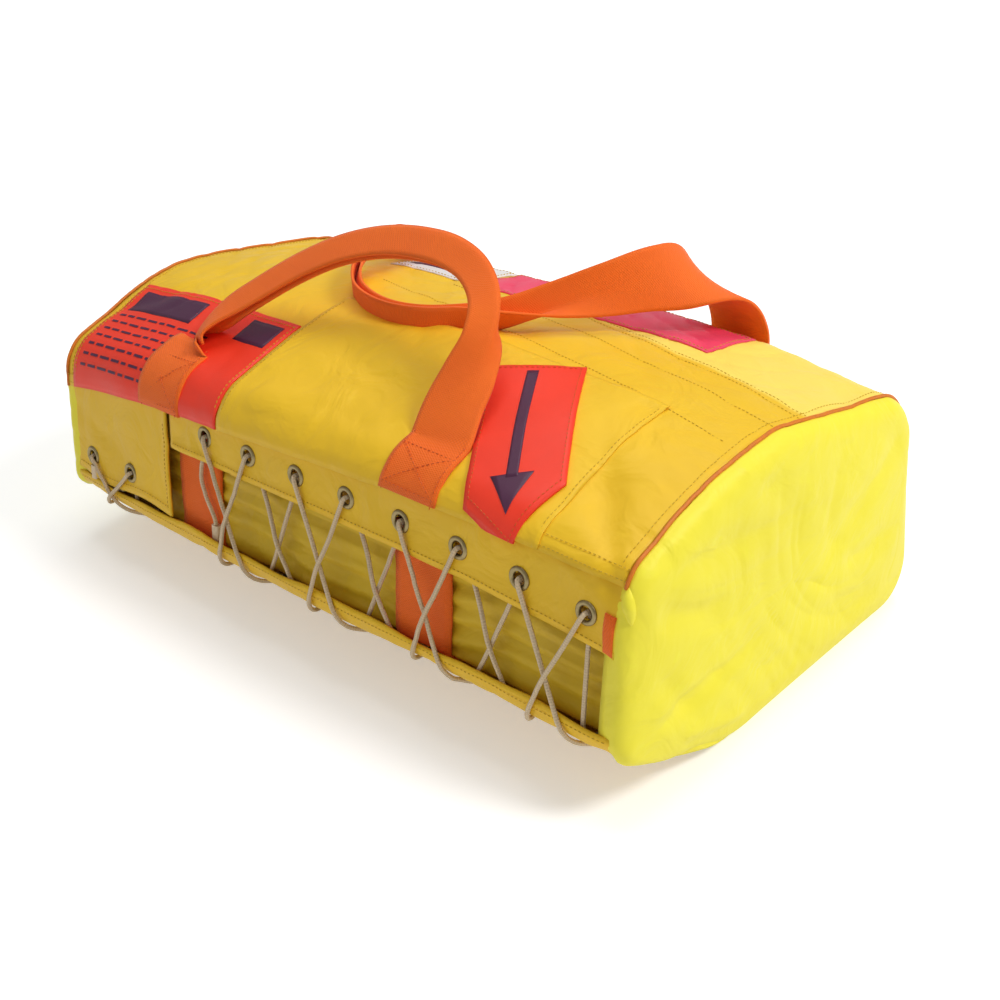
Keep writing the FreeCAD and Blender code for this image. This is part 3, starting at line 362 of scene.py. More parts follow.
def cloth(name, xs, s_low, s_high, stand, material, replaced=(), hems=(), holes=(), held=None):
    """A sheet on the case between two lines along it. hems are (side, width) with extra thickness.

    For a sheet that is held, its width and the lengths between its lines are worked out and not used
    further.
    """
    sizes = bpy.context.scene.valise_sizes
    s_low = np.broadcast_to(np.asarray(s_low, float), xs.shape)
    s_high = np.broadcast_to(np.asarray(s_high, float), xs.shape)
    columns = max(3, int(np.max(s_high - s_low) / sizes.grid) + 1)
    share = np.linspace(0.0, 1.0, columns)
    x = np.repeat(xs[:, None], columns, axis=1)
    s = s_low[:, None] + (s_high - s_low)[:, None] * share
    extra = np.zeros_like(x)
    for side, width in hems:
        gap = {"low": s - s_low[:, None], "high": s_high[:, None] - s,
               "left": x - xs[0], "right": xs[-1] - x}[side]
        extra = np.maximum(extra, sizes.hem * (1 - smooth(gap, width * 0.8, width)))
    points = surface(x, s, stand + extra)
    kept = np.ones((len(xs) - 1, columns - 1), bool)
    for hole_x, hole_s, radius in holes:
        middle_x = (x[1:, 1:] + x[:-1, :-1]) / 2
        middle_s = (s[1:, 1:] + s[:-1, :-1]) / 2
        kept &= np.hypot(middle_x - hole_x, middle_s - hole_s) > radius
    uvs = np.stack([x.ravel(), s.ravel()], axis=1)
    piece = new_piece(name, points.reshape(-1, 3), grid_faces(len(xs), columns, kept), material,
                      replaced, uvs)
    if held:
        width, lengths = float(xs[-1] - xs[0]), s_high - s_low
    return piece


def span(low, high, step):
    """Even places from low to high, about a step apart."""
    return np.linspace(low, high, max(2, int(round((high - low) / step)) + 1))


def tube(name, path, radius, sides, material, replaced=()):
    """A round cord along a path of points, with its length and turn as the cloth map."""
    path = np.asarray(path)
    radii = np.broadcast_to(radius, len(path))
    heading = np.gradient(path, axis=0)
    heading /= np.linalg.norm(heading, axis=1)[:, None]
    across = np.cross(heading[0], (0.3, 0.5, 0.81))
    rings, uvs = [], []
    run = run_along(path)
    turns = np.arange(sides) * 2 * math.pi / sides
    for point, way, distance, radius in zip(path, heading, run, radii):
        across = across - way * (across @ way)
        across /= np.linalg.norm(across)
        other = np.cross(way, across)
        rings.append(point + radius * (np.cos(turns)[:, None] * across + np.sin(turns)[:, None] * other))
        uvs += [(distance, turn) for turn in turns]
    vertices = np.concatenate(rings)
    faces = grid_faces(len(path), sides, closed=True, flip=True)
    faces.append(list(range(sides))[::-1])
    faces.append(list(range(len(vertices) - sides, len(vertices))))
    return new_piece(name, vertices, faces, material, replaced, uvs)


# ---------------------------------------------------------------- materials

def node(tree, kind, inputs=None, **settings):
    """Adds a node with its settings; each input is a value or the socket it is linked to."""
    made = tree.nodes.new(kind)
    for name, value in settings.items():
        setattr(made, name, value)
    for key, value in (inputs or {}).items():
        if isinstance(value, bpy.types.NodeSocket):
            tree.links.new(value, made.inputs[key])
        else:
            made.inputs[key].default_value = value
    return made


def shaded(value, factor):
    """A colour made darker or lighter."""
    return tuple(min(1.0, c * factor) for c in value[:3]) + (1.0,)


def start_material(name, roughness, **settings):
    """An empty material with its shader, whose constant values sit on the shader itself."""
    material = bpy.data.materials.new(name)
    material.use_nodes = True
    tree = material.node_tree
    tree.nodes.clear()
    shader = node(tree, "ShaderNodeBsdfPrincipled", {"Roughness": roughness})
    for key, value in settings.items():
        shader.inputs[key.replace("_", " ").title().replace("Ior", "IOR")].default_value = value
    node(tree, "ShaderNodeOutputMaterial", {"Surface": shader.outputs[0]})
    return material, tree, shader


def on_piece(tree):
    """Places on the piece itself."""
    return node(tree, "ShaderNodeTexCoord").outputs["Object"]


def cloth_map(tree):
    """The cloth map, and from it the distances along and across the cloth."""
    mapped = node(tree, "ShaderNodeUVMap", uv_map="cloth").outputs["UV"]
    parts = node(tree, "ShaderNodeSeparateXYZ", {"Vector": mapped}).outputs
    return mapped, parts["X"], parts["Y"]


def noise(tree, place, scale, detail=2.0, kind="FBM", **more):
    """Noise at a scale; more holds its other inputs."""
    values = {"Vector": place, "Scale": scale, "Detail": detail}
    values.update((key.title(), value) for key, value in more.items())
    return node(tree, "ShaderNodeTexNoise", values, noise_type=kind).outputs["Fac"]


def reckoned(tree, operation, *values):
    """The result of one operation on one or two values."""
    return node(tree, "ShaderNodeMath", dict(enumerate(values)), operation=operation).outputs[0]


def ranged(tree, value, to_range, from_range=(0.0, 1.0)):
    """A value brought from one range to another."""
    bounds = dict(zip(("From Min", "From Max", "To Min", "To Max"), (*from_range, *to_range)))
    return node(tree, "ShaderNodeMapRange", {"Value": value, **bounds}).outputs["Result"]


def tinted(tree, share, low, high):
    """The colour low where the share is 0, and high where it is 1."""
    return node(tree, "ShaderNodeMix", {"Factor": share, 6: low, 7: high}, data_type="RGBA").outputs[2]


def raised(tree, height, strength, distance, **under):
    """The way the surface faces with a height laid on it."""
    values = {"Height": height, "Strength": strength, "Distance": distance, **under}
    return node(tree, "ShaderNodeBump", values).outputs["Normal"]


def dress(tree, shader, **finish):
    """Links a shader's inputs, named as in base_color."""
    for name, value in finish.items():
        tree.links.new(value, shader.inputs[name.replace("_", " ").title()])


WEAVE_SCALE = 1250.0  # squares of the drawn weave in a metre
HIGHLIGHT_SLANT = 0.18  # how far the edge of the painted highlight on the rear slope runs askew, metres in each metre of length
HIGHLIGHT_EDGE = 0.003
RIB_PITCH = 0.0016
WARP_PITCH = 0.0028
BRAID_PITCH = 0.0036


def coated_cloth(name, base, second=None, highlight_y=None):
    """Polyurethane-coated nylon: a satin skin over a fine weave, creased, and rubbed paler where it folds.
    A second colour, if given, is painted past a slanting line as a painted highlight.

    The threads are 0.5 mm apart; the weave is drawn at 1.6 mm, the finest that shows.
    """
    material, tree, shader = start_material(name, 0.5, sheen_weight=0.04, specular_ior_level=0.36)
    place = on_piece(tree)
    cloud = noise(tree, place, 9.0, 5.0)
    shade = tinted(tree, cloud, shaded(base, 0.86), shaded(base, 1.08))
    if second is not None:
        # Past a slanting line across the top the colour turns to the second one, a painted highlight on the
        # rear slope.
        parts = node(tree, "ShaderNodeSeparateXYZ", {"Vector": place}).outputs
        line = reckoned(tree, "ADD", parts["Y"], reckoned(tree, "MULTIPLY", parts["X"], HIGHLIGHT_SLANT))
        shade = tinted(tree, ranged(tree, line, (0.0, 1.0), (highlight_y, highlight_y + HIGHLIGHT_EDGE)), shade, second)
    rub = ranged(tree, noise(tree, place, 60.0, 6.0, roughness=0.7), (0.0, 0.22), (0.58, 0.75))
    crease = noise(tree, place, 22.0, 3.0, distortion=1.4)
    sharp = noise(tree, place, 9.0, 1.5, "RIDGED_MULTIFRACTAL", distortion=0.8)
    creased = reckoned(tree, "ADD", crease, ranged(tree, sharp, (0.0, 1.1), (0.35, 0.95)))
    soft = raised(tree, creased, 0.60, 0.0045)
    weave = node(tree, "ShaderNodeTexChecker", {"Vector": place, "Scale": WEAVE_SCALE}).outputs["Fac"]
    dress(tree, shader, base_color=tinted(tree, rub, shade, shaded(base, 1.25)),
          roughness=ranged(tree, cloud, (0.42, 0.62)),
          normal=raised(tree, weave, 0.10, 0.0003, Normal=soft))
    return material


def woven_webbing(name, base):
    """Polyester webbing: tight cross ribs 1.6 mm apart, crossed by a wider warp, with a slight fuzz and
    painted shade in the weave's valleys.
    """
    material, tree, shader = start_material(name, 0.62, sheen_weight=0.08, specular_ior_level=0.25)
    mapped, along, across = cloth_map(tree)
    ribs, warps = (reckoned(tree, "SINE", reckoned(tree, "MULTIPLY", way, 2 * math.pi / pitch))
                   for way, pitch in ((along, RIB_PITCH), (across, WARP_PITCH)))
    woven = reckoned(tree, "MULTIPLY", ribs, warps)
    cloud = noise(tree, mapped, 28.0, 4.0)
    tone = tinted(tree, cloud, shaded(base, 0.92), shaded(base, 1.22))
    # Painted shade: the valleys of the weave are darkened towards 0.62 of the base colour.
    valley_shade = ranged(tree, woven, (0.24, 0.0), (-1.0, 1.0))
    dress(tree, shader, base_color=tinted(tree, valley_shade, tone, shaded(base, 0.62)),
          roughness=ranged(tree, cloud, (0.52, 0.74)), normal=raised(tree, woven, 0.5, 0.0003))
    return material


def printed_cloth(name, base):
    """Coated patch cloth: smooth, a little glossier than the cover, with a faint weave and rubbed ink."""
    material, tree, shader = start_material(name, 0.42, specular_ior_level=0.4)
    place = on_piece(tree)
    cloud = noise(tree, place, 34.0, 6.0, roughness=0.65)
    weave = node(tree, "ShaderNodeTexChecker", {"Vector": place, "Scale": WEAVE_SCALE}).outputs["Fac"]
    dress(tree, shader, base_color=tinted(tree, cloud, shaded(base, 0.84), shaded(base, 1.12)),
          roughness=ranged(tree, cloud, (0.34, 0.55)),
          normal=raised(tree, reckoned(tree, "ADD", weave, cloud), 0.18, 0.0005))
    return material


def braided_cord(name, base):
    """Nylon braid: two sets of strands crossing at an angle, each about 1 mm wide, with painted shade in
    the grooves between them.
    """
    material, tree, shader = start_material(name, 0.6, sheen_weight=0.15, specular_ior_level=0.35)
    _, along, across = cloth_map(tree)
    lengthwise = reckoned(tree, "MULTIPLY", along, 2 * math.pi / BRAID_PITCH)
    around = reckoned(tree, "MULTIPLY", across, 2.0)
    strands = [reckoned(tree, "SINE", reckoned(tree, way, lengthwise, around))
               for way in ("ADD", "SUBTRACT")]
    braid = reckoned(tree, "MULTIPLY", *strands)
    # Painted shade: the grooves between strands are darkened to 0.58 of the base, and the strand crowns are
    # a little lighter.
    groove_shade = ranged(tree, braid, (0.5, 0.0), (-1.0, 1.0))
    dress(tree, shader, base_color=tinted(tree, groove_shade, shaded(base, 1.06), shaded(base, 0.58)),
          normal=raised(tree, braid, 0.6, 0.0004))
    return material


def mottled(name, base, start, grain, tones, gloss, metallic=0.0):
    """Thread, tape and metal: one noise moves the tone and the roughness together."""
    material, tree, shader = start_material(name, start, metallic=metallic)
    cloud = noise(tree, on_piece(tree), *grain)
    dress(tree, shader, base_color=tinted(tree, cloud, *(shaded(base, tone) for tone in tones)),
          roughness=ranged(tree, cloud, gloss))
    return material


def plated_brass(name, base):
    """Nickel-plated brass eyelet: rolled metal, dulled by salt, darker in its pits."""
    return mottled(name, base, 0.36, (420.0, 5.0), (0.55, 1.35), (0.24, 0.55), 0.9)


def sewing_thread(name, base):
    """Bonded polyester thread: satin, with a slight change of tone from stitch to stitch."""
    return mottled(name, base, 0.55, (300.0,), (0.75, 1.15), (0.45, 0.65))


MADE = {}


def finish_of(name):
    """A material by its plain name, made on first use."""
    if name not in MADE:
        colours = bpy.context.scene.valise_colours
        makers = {
            # The golden cover is painted paler past y = 0.095 on its rear slope, a painted highlight.
            "golden": lambda: coated_cloth("coated_nylon_golden", colours.golden, colours.lit_rear_slope, 0.095),
            "flap": lambda: coated_cloth("coated_nylon_flap", colours.golden),
            # End panel cloth, painted lighter as a highlight.
            "lemon_lit": lambda: coated_cloth("coated_nylon_lemon", colours.lemon_lit),
            "shaded_olive": lambda: coated_cloth("coated_nylon_inner", colours.shaded_olive),
            "webbing": lambda: woven_webbing("polyester_webbing_orange", colours.webbing),
            "red": lambda: printed_cloth("patch_cloth_red", colours.red),
            "rose": lambda: printed_cloth("patch_cloth_rose", colours.rose),
            "white": lambda: printed_cloth("patch_cloth_white", colours.white),
            "ink": lambda: printed_cloth("screen_print_ink", colours.ink),
            "cord": lambda: braided_cord("nylon_braid", colours.cord),
            "knot": lambda: sewing_thread("nylon_braid_knot", colours.cord),
            "piping": lambda: sewing_thread("binding_tape_amber", colours.piping),
            "metal": lambda: plated_brass("plated_brass", colours.metal),
            "thread": lambda: sewing_thread("polyester_thread_yellow", shaded(colours.golden, 0.72)),
            "orange_thread": lambda: sewing_thread("polyester_thread_orange", shaded(colours.webbing, 0.7)),
        }
        MADE[name] = makers[name]()
    return MADE[name]


# ---------------------------------------------------------------- seams and stitches

SEAMS = {"thread": [], "orange_thread": []}


def seam(x, s, stand, thread="thread"):
    """Notes a row of stitches along points of the case."""
    sizes = bpy.context.scene.valise_sizes
    count = max(len(np.atleast_1d(x)), len(np.atleast_1d(s)))
    share = np.linspace(0, 1, count)
    x = np.broadcast_to(x, share.shape)
    s = np.broadcast_to(s, share.shape)
    reach = np.concatenate([[0.0], np.cumsum(np.hypot(np.diff(x), np.diff(s)))])
    even = np.linspace(0, reach[-1], max(2, int(reach[-1] / 0.004)))
    line = surface(np.interp(even, reach, x), np.interp(even, reach, s), stand + sizes.thread * 0.25)
    SEAMS[thread].append(line)


def start_tree(title, source, sizes, result):
    """An empty node tree with a geometry input, its named sizes, a material and a geometry output."""
    tree = bpy.data.node_groups.new(title, "GeometryNodeTree")
    sockets = [(source, "INPUT", "Geometry")] + [(name, "INPUT", "Float") for name in sizes]
    for name, way, kind in sockets + [("Material", "INPUT", "Material"), (result, "OUTPUT", "Geometry")]:
        tree.interface.new_socket(name, in_out=way, socket_type=f"NodeSocket{kind}")
    return tree, node(tree, "NodeGroupInput").outputs


def stitch_tree():
    """Geometry nodes that lay stitches end to end along seam lines."""
    tree, enter = start_tree("stitch_rows", "Seams", ("Pitch", "Stitch length", "Thread"), "Stitches")
    line = node(tree, "GeometryNodeMeshToCurve", {"Mesh": enter["Seams"]})
    even = node(tree, "GeometryNodeResampleCurve", {"Curve": line.outputs["Curve"],
                                                    "Length": enter["Pitch"]}, mode="LENGTH")
    tangent = node(tree, "GeometryNodeInputTangent")
    turn = node(tree, "FunctionNodeAlignRotationToVector", {"Vector": tangent.outputs["Tangent"]}, axis="X")
    bead = node(tree, "GeometryNodeMeshIcoSphere", {"Radius": 0.5, "Subdivisions": 1})
    scale = node(tree, "ShaderNodeCombineXYZ", {"X": enter["Stitch length"], "Y": enter["Thread"],
                                                "Z": enter["Thread"]})
    placed = node(tree, "GeometryNodeInstanceOnPoints", {
        "Points": even.outputs["Curve"], "Instance": bead.outputs["Mesh"],
        "Rotation": turn.outputs["Rotation"], "Scale": scale.outputs["Vector"]})
    real = node(tree, "GeometryNodeRealizeInstances", {"Geometry": placed.outputs["Instances"]})
    done = node(tree, "GeometryNodeSetMaterial", {"Geometry": real.outputs["Geometry"],
                                                  "Material": enter["Material"]})
    node(tree, "NodeGroupOutput", {"Stitches": done.outputs["Geometry"]})
    return tree


def eyelet_tree():
    """Geometry nodes that set a rolled eyelet on each point, facing along the point's own direction."""
    tree, enter = start_tree("eyelets", "Places", ("Bore", "Brim", "Height"), "Eyelets")
    total = node(tree, "ShaderNodeMath", {0: enter["Bore"], 1: enter["Brim"]}, operation="ADD")
    middle = node(tree, "ShaderNodeMath", {0: total.outputs[0], 1: 0.5}, operation="MULTIPLY")
    wall = node(tree, "ShaderNodeMath", {0: enter["Brim"], 1: middle.outputs[0]}, operation="SUBTRACT")
    flat = node(tree, "ShaderNodeMath", {0: enter["Height"], 1: wall.outputs[0]}, operation="DIVIDE")
    ring = node(tree, "GeometryNodeCurvePrimitiveCircle", {"Resolution": 28, "Radius": middle.outputs[0]})
    profile = node(tree, "GeometryNodeCurvePrimitiveCircle", {"Resolution": 10, "Radius": wall.outputs[0]})
    body = node(tree, "GeometryNodeCurveToMesh", {"Curve": ring.outputs["Curve"],
                                                  "Profile Curve": profile.outputs["Curve"]})
    squash = node(tree, "ShaderNodeCombineXYZ", {"X": 1.0, "Y": 1.0, "Z": flat.outputs[0]})
    pressed = node(tree, "GeometryNodeTransform", {"Geometry": body.outputs["Mesh"],
                                                   "Scale": squash.outputs["Vector"]})
    facing = node(tree, "GeometryNodeInputNamedAttribute", {"Name": "facing"}, data_type="FLOAT_VECTOR")
    turn = node(tree, "FunctionNodeAlignRotationToVector", {"Vector": facing.outputs["Attribute"]},
                axis="Z")
    placed = node(tree, "GeometryNodeInstanceOnPoints", {
        "Points": enter["Places"], "Instance": pressed.outputs["Geometry"],
        "Rotation": turn.outputs["Rotation"]})
    real = node(tree, "GeometryNodeRealizeInstances", {"Geometry": placed.outputs["Instances"]})
    round_off = node(tree, "GeometryNodeSetShadeSmooth", {"Geometry": real.outputs["Geometry"]})
    done = node(tree, "GeometryNodeSetMaterial", {"Geometry": round_off.outputs["Geometry"],
                                                  "Material": enter["Material"]})
    node(tree, "NodeGroupOutput", {"Eyelets": done.outputs["Geometry"]})
    return tree


def grown(name, vertices, edges, tree, values, replaced=(), facing=None):
    """A piece that a node tree grows on points or lines, made a plain mesh."""
    mesh = bpy.data.meshes.new(name)
    mesh.from_pydata([tuple(v) for v in vertices], edges, [])
    if facing is not None:
        mesh.attributes.new("facing", "FLOAT_VECTOR", "POINT").data.foreach_set(
            "vector", np.asarray(facing, np.float32).ravel())
    piece = bpy.data.objects.new(name, mesh)
    bpy.context.collection.objects.link(piece)
    growth = piece.modifiers.new("growth", "NODES")
    growth.node_group = tree
    for item in tree.interface.items_tree:
        if item.in_out == "INPUT" and item.name in values:
            growth[item.identifier] = values[item.name]
    make_plain(piece)
    finish_piece(piece, replaced)
    return piece


# ---------------------------------------------------------------- the laced front

GROMMET_PITCH = 0.05065
MAIN_HOLES = [0.258 - GROMMET_PITCH * n for n in reversed(range(8))]
FLAP_HOLES = [-0.257, -0.202]
UPPER_HOLE_UP, LOWER_HOLE_DOWN, FLAP_HOLE_UP = 0.091, 0.023, 0.035
STRIP_BOTTOM, STRIP_LEFT, FLAP_RIGHT, FLAP_BOTTOM, RIM_RISE = 0.072, -0.141, -0.146, 0.018, 0.015


def hole_rows():
    """Eyelets as (x, distance along the outline): the upper row, the left flap's and the lower row."""
    return {
        "upper": [(x, up(UPPER_HOLE_UP)) for x in MAIN_HOLES],
        "flap": [(x, up(FLAP_HOLE_UP)) for x in FLAP_HOLES],
        "lower": [(x, down(LOWER_HOLE_DOWN)) for x in FLAP_HOLES + MAIN_HOLES],
    }


def lace_path(xs, upper_up, slack):
    """The cord's places (x, s, stand) from its knot, out along one zigzag, back along the other."""
    sizes = bpy.context.scene.valise_sizes
    outside = sizes.lace_diameter / 2 + 0.0009
    inside = -(sizes.strip_thickness + outside)
    step = sizes.lace_diameter * 1.05
    high, low = up(upper_up), down(LOWER_HOLE_DOWN)
    count = len(xs)
    there = [(xs[n], high if n % 2 == 0 else low) for n in range(count)]
    back = [(xs[n], low if n % 2 == 0 else high) for n in reversed(range(count))]
    stops = there + back
    path = [(xs[0], up(0.024), inside)] + slack
    for number, (x, s) in enumerate(stops):
        leaves_outside = number % 2 == 0
        first, second = (inside, outside) if leaves_outside else (outside, inside)
        path += [(x, s, first), (x, s, (first + second) / 2), (x, s, second)]
        if number + 1 == len(stops):
            break
        next_x, next_s = stops[number + 1]
        over = number >= count
        stand = outside if leaves_outside else inside
        for share in (0.12, 0.3, 0.44, 0.5, 0.56, 0.7, 0.88):
            hump = step * math.exp(-((share - 0.5) / 0.13) ** 2) if over else 0.0
            path.append((x + (next_x - x) * share, s + (next_s - s) * share, stand + hump))
    path += [(xs[0], 0.0, inside), (xs[0], up(0.012), inside)]
    return path


def smooth_path(places, step=0.0016):
    """Rounds the corners of a path of (x, s, stand) and lays it on the case."""
    places = np.array(places)
    for _ in range(2):
        ahead = places[:-1] * 0.75 + places[1:] * 0.25
        behind = places[:-1] * 0.25 + places[1:] * 0.75
        places = np.concatenate([places[:1], np.stack([ahead, behind], 1).reshape(-1, 3), places[-1:]])
    path = surface(*places.T)
    reach = run_along(path)
    even = np.linspace(0, reach[-1], int(reach[-1] / step))
    return np.stack([np.interp(even, reach, path[:, n]) for n in range(3)], axis=1)


# ---------------------------------------------------------------- webbing loops

# Share of the way from left to right leg, back and up in millimetres from where the webbing leaves the
# cover, and how far it is folded lengthways into a grip.
FRONT_ROUTE = [
    (0.015, 11, 9, 0.5), (0.07, 25, 24, 0.9), (0.155, 42, 40, 1), (0.26, 60, 57, 1), (0.386, 74, 72, 1),
    (0.52, 84, 81, 1), (0.64, 88, 84, 1), (0.754, 88, 83, 1), (0.86, 82, 76, 0.95), (0.945, 68, 63, 0.8),
    (0.983, 52, 47, 0.5), (0.985, 35, 31, 0.25), (0.985, 17, 15, 0.1),
]
# The same for the rear loop, forward in place of back, and the way the webbing's width points.
REAR_ROUTE = [
    (0.0, 2, 26, (1, 0, 0), 0), (0.01, 17, 52, (1, 0, 0), 0.1), (0.027, 48, 70, (1, 0, 0.1), 0.3),
    (0.055, 86, 81, (0.9, 0, 0.45), 0.7), (0.113, 122, 87, (0.6, 0.1, 0.8), 1),
    (0.195, 154, 89, (0.25, 0.15, 1), 1), (0.298, 178, 88, (0, 0.1, 1), 1),
    (0.414, 188, 88, (0, 0.15, 1), 1),
    (0.524, 186, 89, (0, 0.15, 1), 1), (0.627, 172, 90, (0, 0.1, 1), 1), (0.723, 154, 93, (0, 0, 1), 0.8),
    (0.812, 130, 97, (0, 0, 1), 0.5), (0.887, 102, 99, (0, 0, 1), 0.25), (0.945, 72, 98, (-0.3, 0, 1), 0.1),
    (0.986, 44, 89, (-0.75, 0, 0.6), 0), (1.007, 20, 69, (-1, 0, 0.25), 0), (1.01, 2, 38, (-1, 0, 0.05), 0),
]
ACROSS = 15  # points across the webbing
FOLDED = 166  # degrees by which a full fold turns the halves together
FRONT_LEGS = (-0.149, 0.115)  # middles of the handles' sewn legs, left and right
REAR_LEGS = (-0.149, 0.143)
FRONT_LEAN = math.radians(45)
REAR_SAG = 15.0
STITCH_LIFT = 0.0011  # from the webbing's middle to the stitches on its face


def eased(knots, steps):
    """Smooth values through knots spaced by their distance, at even steps; rows are stations."""
    knots = np.asarray(knots, float)
    marks = run_along(knots[:, :3])
    slopes = np.gradient(knots, marks, axis=0)
    at = np.linspace(0, marks[-1], steps)
    index = np.clip(np.searchsorted(marks, at, side="right") - 1, 0, len(knots) - 2)
    wide = (marks[index + 1] - marks[index])[:, None]
    t = ((at - marks[index])[:, None]) / wide
    a, b = knots[index], knots[index + 1]
    m, n = slopes[index] * wide, slopes[index + 1] * wide
    return (a * (2 * t ** 3 - 3 * t ** 2 + 1) + m * (t ** 3 - 2 * t ** 2 + t)
            + b * (3 * t ** 2 - 2 * t ** 3) + n * (t ** 3 - t ** 2))


def webbing_section(fold, width):
    """Middle line of the webbing across its width: flat, or folded lengthways about its middle."""
    angle = math.radians(180 - FOLDED * fold) / 2
    half = width / 2
    t = np.linspace(-1, 1, ACROSS)
    bend = np.sqrt(t ** 2 + (0.06 + 0.02 * fold) ** 2)
    along = bend * half * math.cos(angle) - (half / 2) * math.cos(angle)
    side = t * half * math.sin(angle)
    return side, along


def webbing_loop(name, stations, replaced):
    """A band through stations (middle, way of its width, fold) with its cloth map."""
    sizes = bpy.context.scene.valise_sizes
    middles = np.array([station[0] for station in stations])
    heading = np.gradient(middles, axis=0)
    heading /= np.linalg.norm(heading, axis=1)[:, None]
    run = run_along(middles)
    vertices, uvs = [], []
    for (middle, way, fold), front, distance in zip(stations, heading, run):
        wide = np.array(way, float)
        wide = wide - front * (wide @ front)
        wide /= np.linalg.norm(wide)
        out = np.cross(wide, front)
        fold = min(max(fold, 0.0), 1.0)
        side, along = webbing_section(fold, sizes.webbing_width)
        flatness = 1 - fold
        # Unfolded, the width lies along `wide`; folded, both halves hang from the crease, side by side.
        crease = side[:, None] * (wide * flatness + out * (1 - flatness))
        drop = along[:, None] * (wide * (1 - flatness) - out * flatness * 0.12)
        vertices.append(middle + crease + drop)
        uvs += [(distance, share * sizes.webbing_width) for share in np.linspace(0, 1, ACROSS)]
    piece = new_piece(name, np.concatenate(vertices), grid_faces(len(stations), ACROSS),
                      finish_of("webbing"), replaced, uvs)
    return thicken(piece, sizes.webbing_thickness * 0.9, 0.0)


# ---------------------------------------------------------------- operators

PACK_END = 0.2905
STRAPS = (("left", -0.117), ("right", 0.118))  # middles of the webbing straps round the pack
PLEATS = ((0.018, 0.0030), (0.033, 0.0052), (0.047, 0.0036), (0.061, 0.0056))  # place and depth
UNDER_EDGE = 0.024  # how far a lacing strip reaches under the cover's front edge
LACING_STEP = 0.0028
STRIP_STAND = -0.0002
HOLE_EASE = 0.0012
REAR_PATCHES = (0.0833, 0.1393)  # the rear patches' lower and upper lines on the top
SETTLE_FRAMES = 14
SETTLE_MOST = 0.005


class VALISE_OT_pack(Operator):
    """Folded raft behind the lacing, and the two webbing straps round it"""

    bl_idname = "valise.pack"
    bl_label = "Raft pack and straps"

    def execute(self, context):
        sizes = context.scene.valise_sizes
        deep = sizes.strip_thickness + sizes.lace_channel + sizes.webbing_thickness + 0.0004
        xs = span(-PACK_END, PACK_END, 0.006)
        s = np.linspace(0, ROUND, 220, endpoint=False)
        x_grid = np.repeat(xs[:, None], len(s), axis=1)
        s_grid = np.repeat(s[None, :], len(xs), axis=0)
        from_front = np.minimum(np.abs(s_grid - 0.05), np.abs(s_grid - 0.05 - ROUND))
        near_front = 1 - smooth(from_front, 0.11, 0.14)
        stand = -0.0036 - (deep - 0.0036) * near_front
        wave = s_grid + 0.006 * np.sin(x_grid * 17) + 0.003 * np.sin(x_grid * 53 + 1)
        pleats = sum(depth * np.exp(-((wave - at) / 0.0035) ** 2) for at, depth in PLEATS)
        ends = 1 - 0.05 * smooth(np.abs(x_grid), 0.27, PACK_END)
        points = surface(x_grid, s_grid, stand - pleats * near_front)
        middle = np.array([0.0, 0.01, 0.10])
        points[..., 1:] = middle[1:] + (points[..., 1:] - middle[1:]) * ends[..., None]
        faces = grid_faces(len(xs), len(s), closed=True)
        vertices = points.reshape(-1, 3)
        count = len(s)
        faces.append(list(range(count)))
        faces.append(list(range(len(vertices) - count, len(vertices)))[::-1])
        uvs = np.stack([x_grid.ravel(), s_grid.ravel()], axis=1)
        # The raft is painted in the darker copy of the cover's yellow, painted shade of the recess behind
        # the lacing.
        pack = new_piece("raft_pack", vertices, faces, finish_of("shaded_olive"),
                         ["packed_raft"], uvs)
        for side, middle_x in STRAPS:
            half = sizes.webbing_width / 2
            strap_s = np.linspace(on_back(0.135) - ROUND, on_front(0.135), 240)
            across = np.linspace(middle_x - half, middle_x + half, 9)
            x_grid, s_grid = np.meshgrid(across, strap_s, indexing="ij")
            laced = smooth(s_grid, down(0.090), down(0.062))
            stand = -0.0004 - (sizes.strip_thickness + sizes.lace_channel) * laced
            uvs = np.stack([s_grid.ravel(), x_grid.ravel()], axis=1)
            strap = new_piece(f"{side}_pack_strap", surface(x_grid, s_grid, stand).reshape(-1, 3),
                              grid_faces(len(across), len(strap_s)), finish_of("webbing"),
                              [f"{side}_body_strap"], uvs)
            thicken(strap, sizes.webbing_thickness * 0.9)
        return {"FINISHED"}


class VALISE_OT_cover(Operator):
    """Coated cloth cover with its turned front edge and rear seam"""

    bl_idname = "valise.cover"
    bl_label = "Cover"

    def execute(self, context):
        sizes = context.scene.valise_sizes
        xs = span(-COVER_END, COVER_END, sizes.grid)
        cover = cloth("case_cover", xs, front_edge(xs), COVER_STOP, sizes.cover_thickness,
                      finish_of("golden"), ["outer_cover"], hems=[("low", 0.012)],
                      held="stretched")
        thicken(cover, sizes.cover_thickness * 0.95)
        top = sizes.cover_thickness
        seam(xs, front_edge(xs) + 0.0035, top + sizes.hem)
        seam(xs, front_edge(xs) + 0.0105, top + sizes.hem)
        rear = on_top(0.095 - 0.18 * xs)
        for gap in (-0.004, 0.004):
            seam(xs, rear + gap, top)
        seam(xs[60:], on_top(0.062 - 0.18 * xs[60:]), top)
        middle = on_top(0.012 - 0.16 * (xs - 0.05))
        seam(xs[50:-4], middle[50:-4], top)
        for x in (-COVER_END + 0.006, COVER_END - 0.006):
            seam(x, np.linspace(float(front_edge(x)) + 0.004, COVER_STOP - 0.01, 200), top)
        return {"FINISHED"}


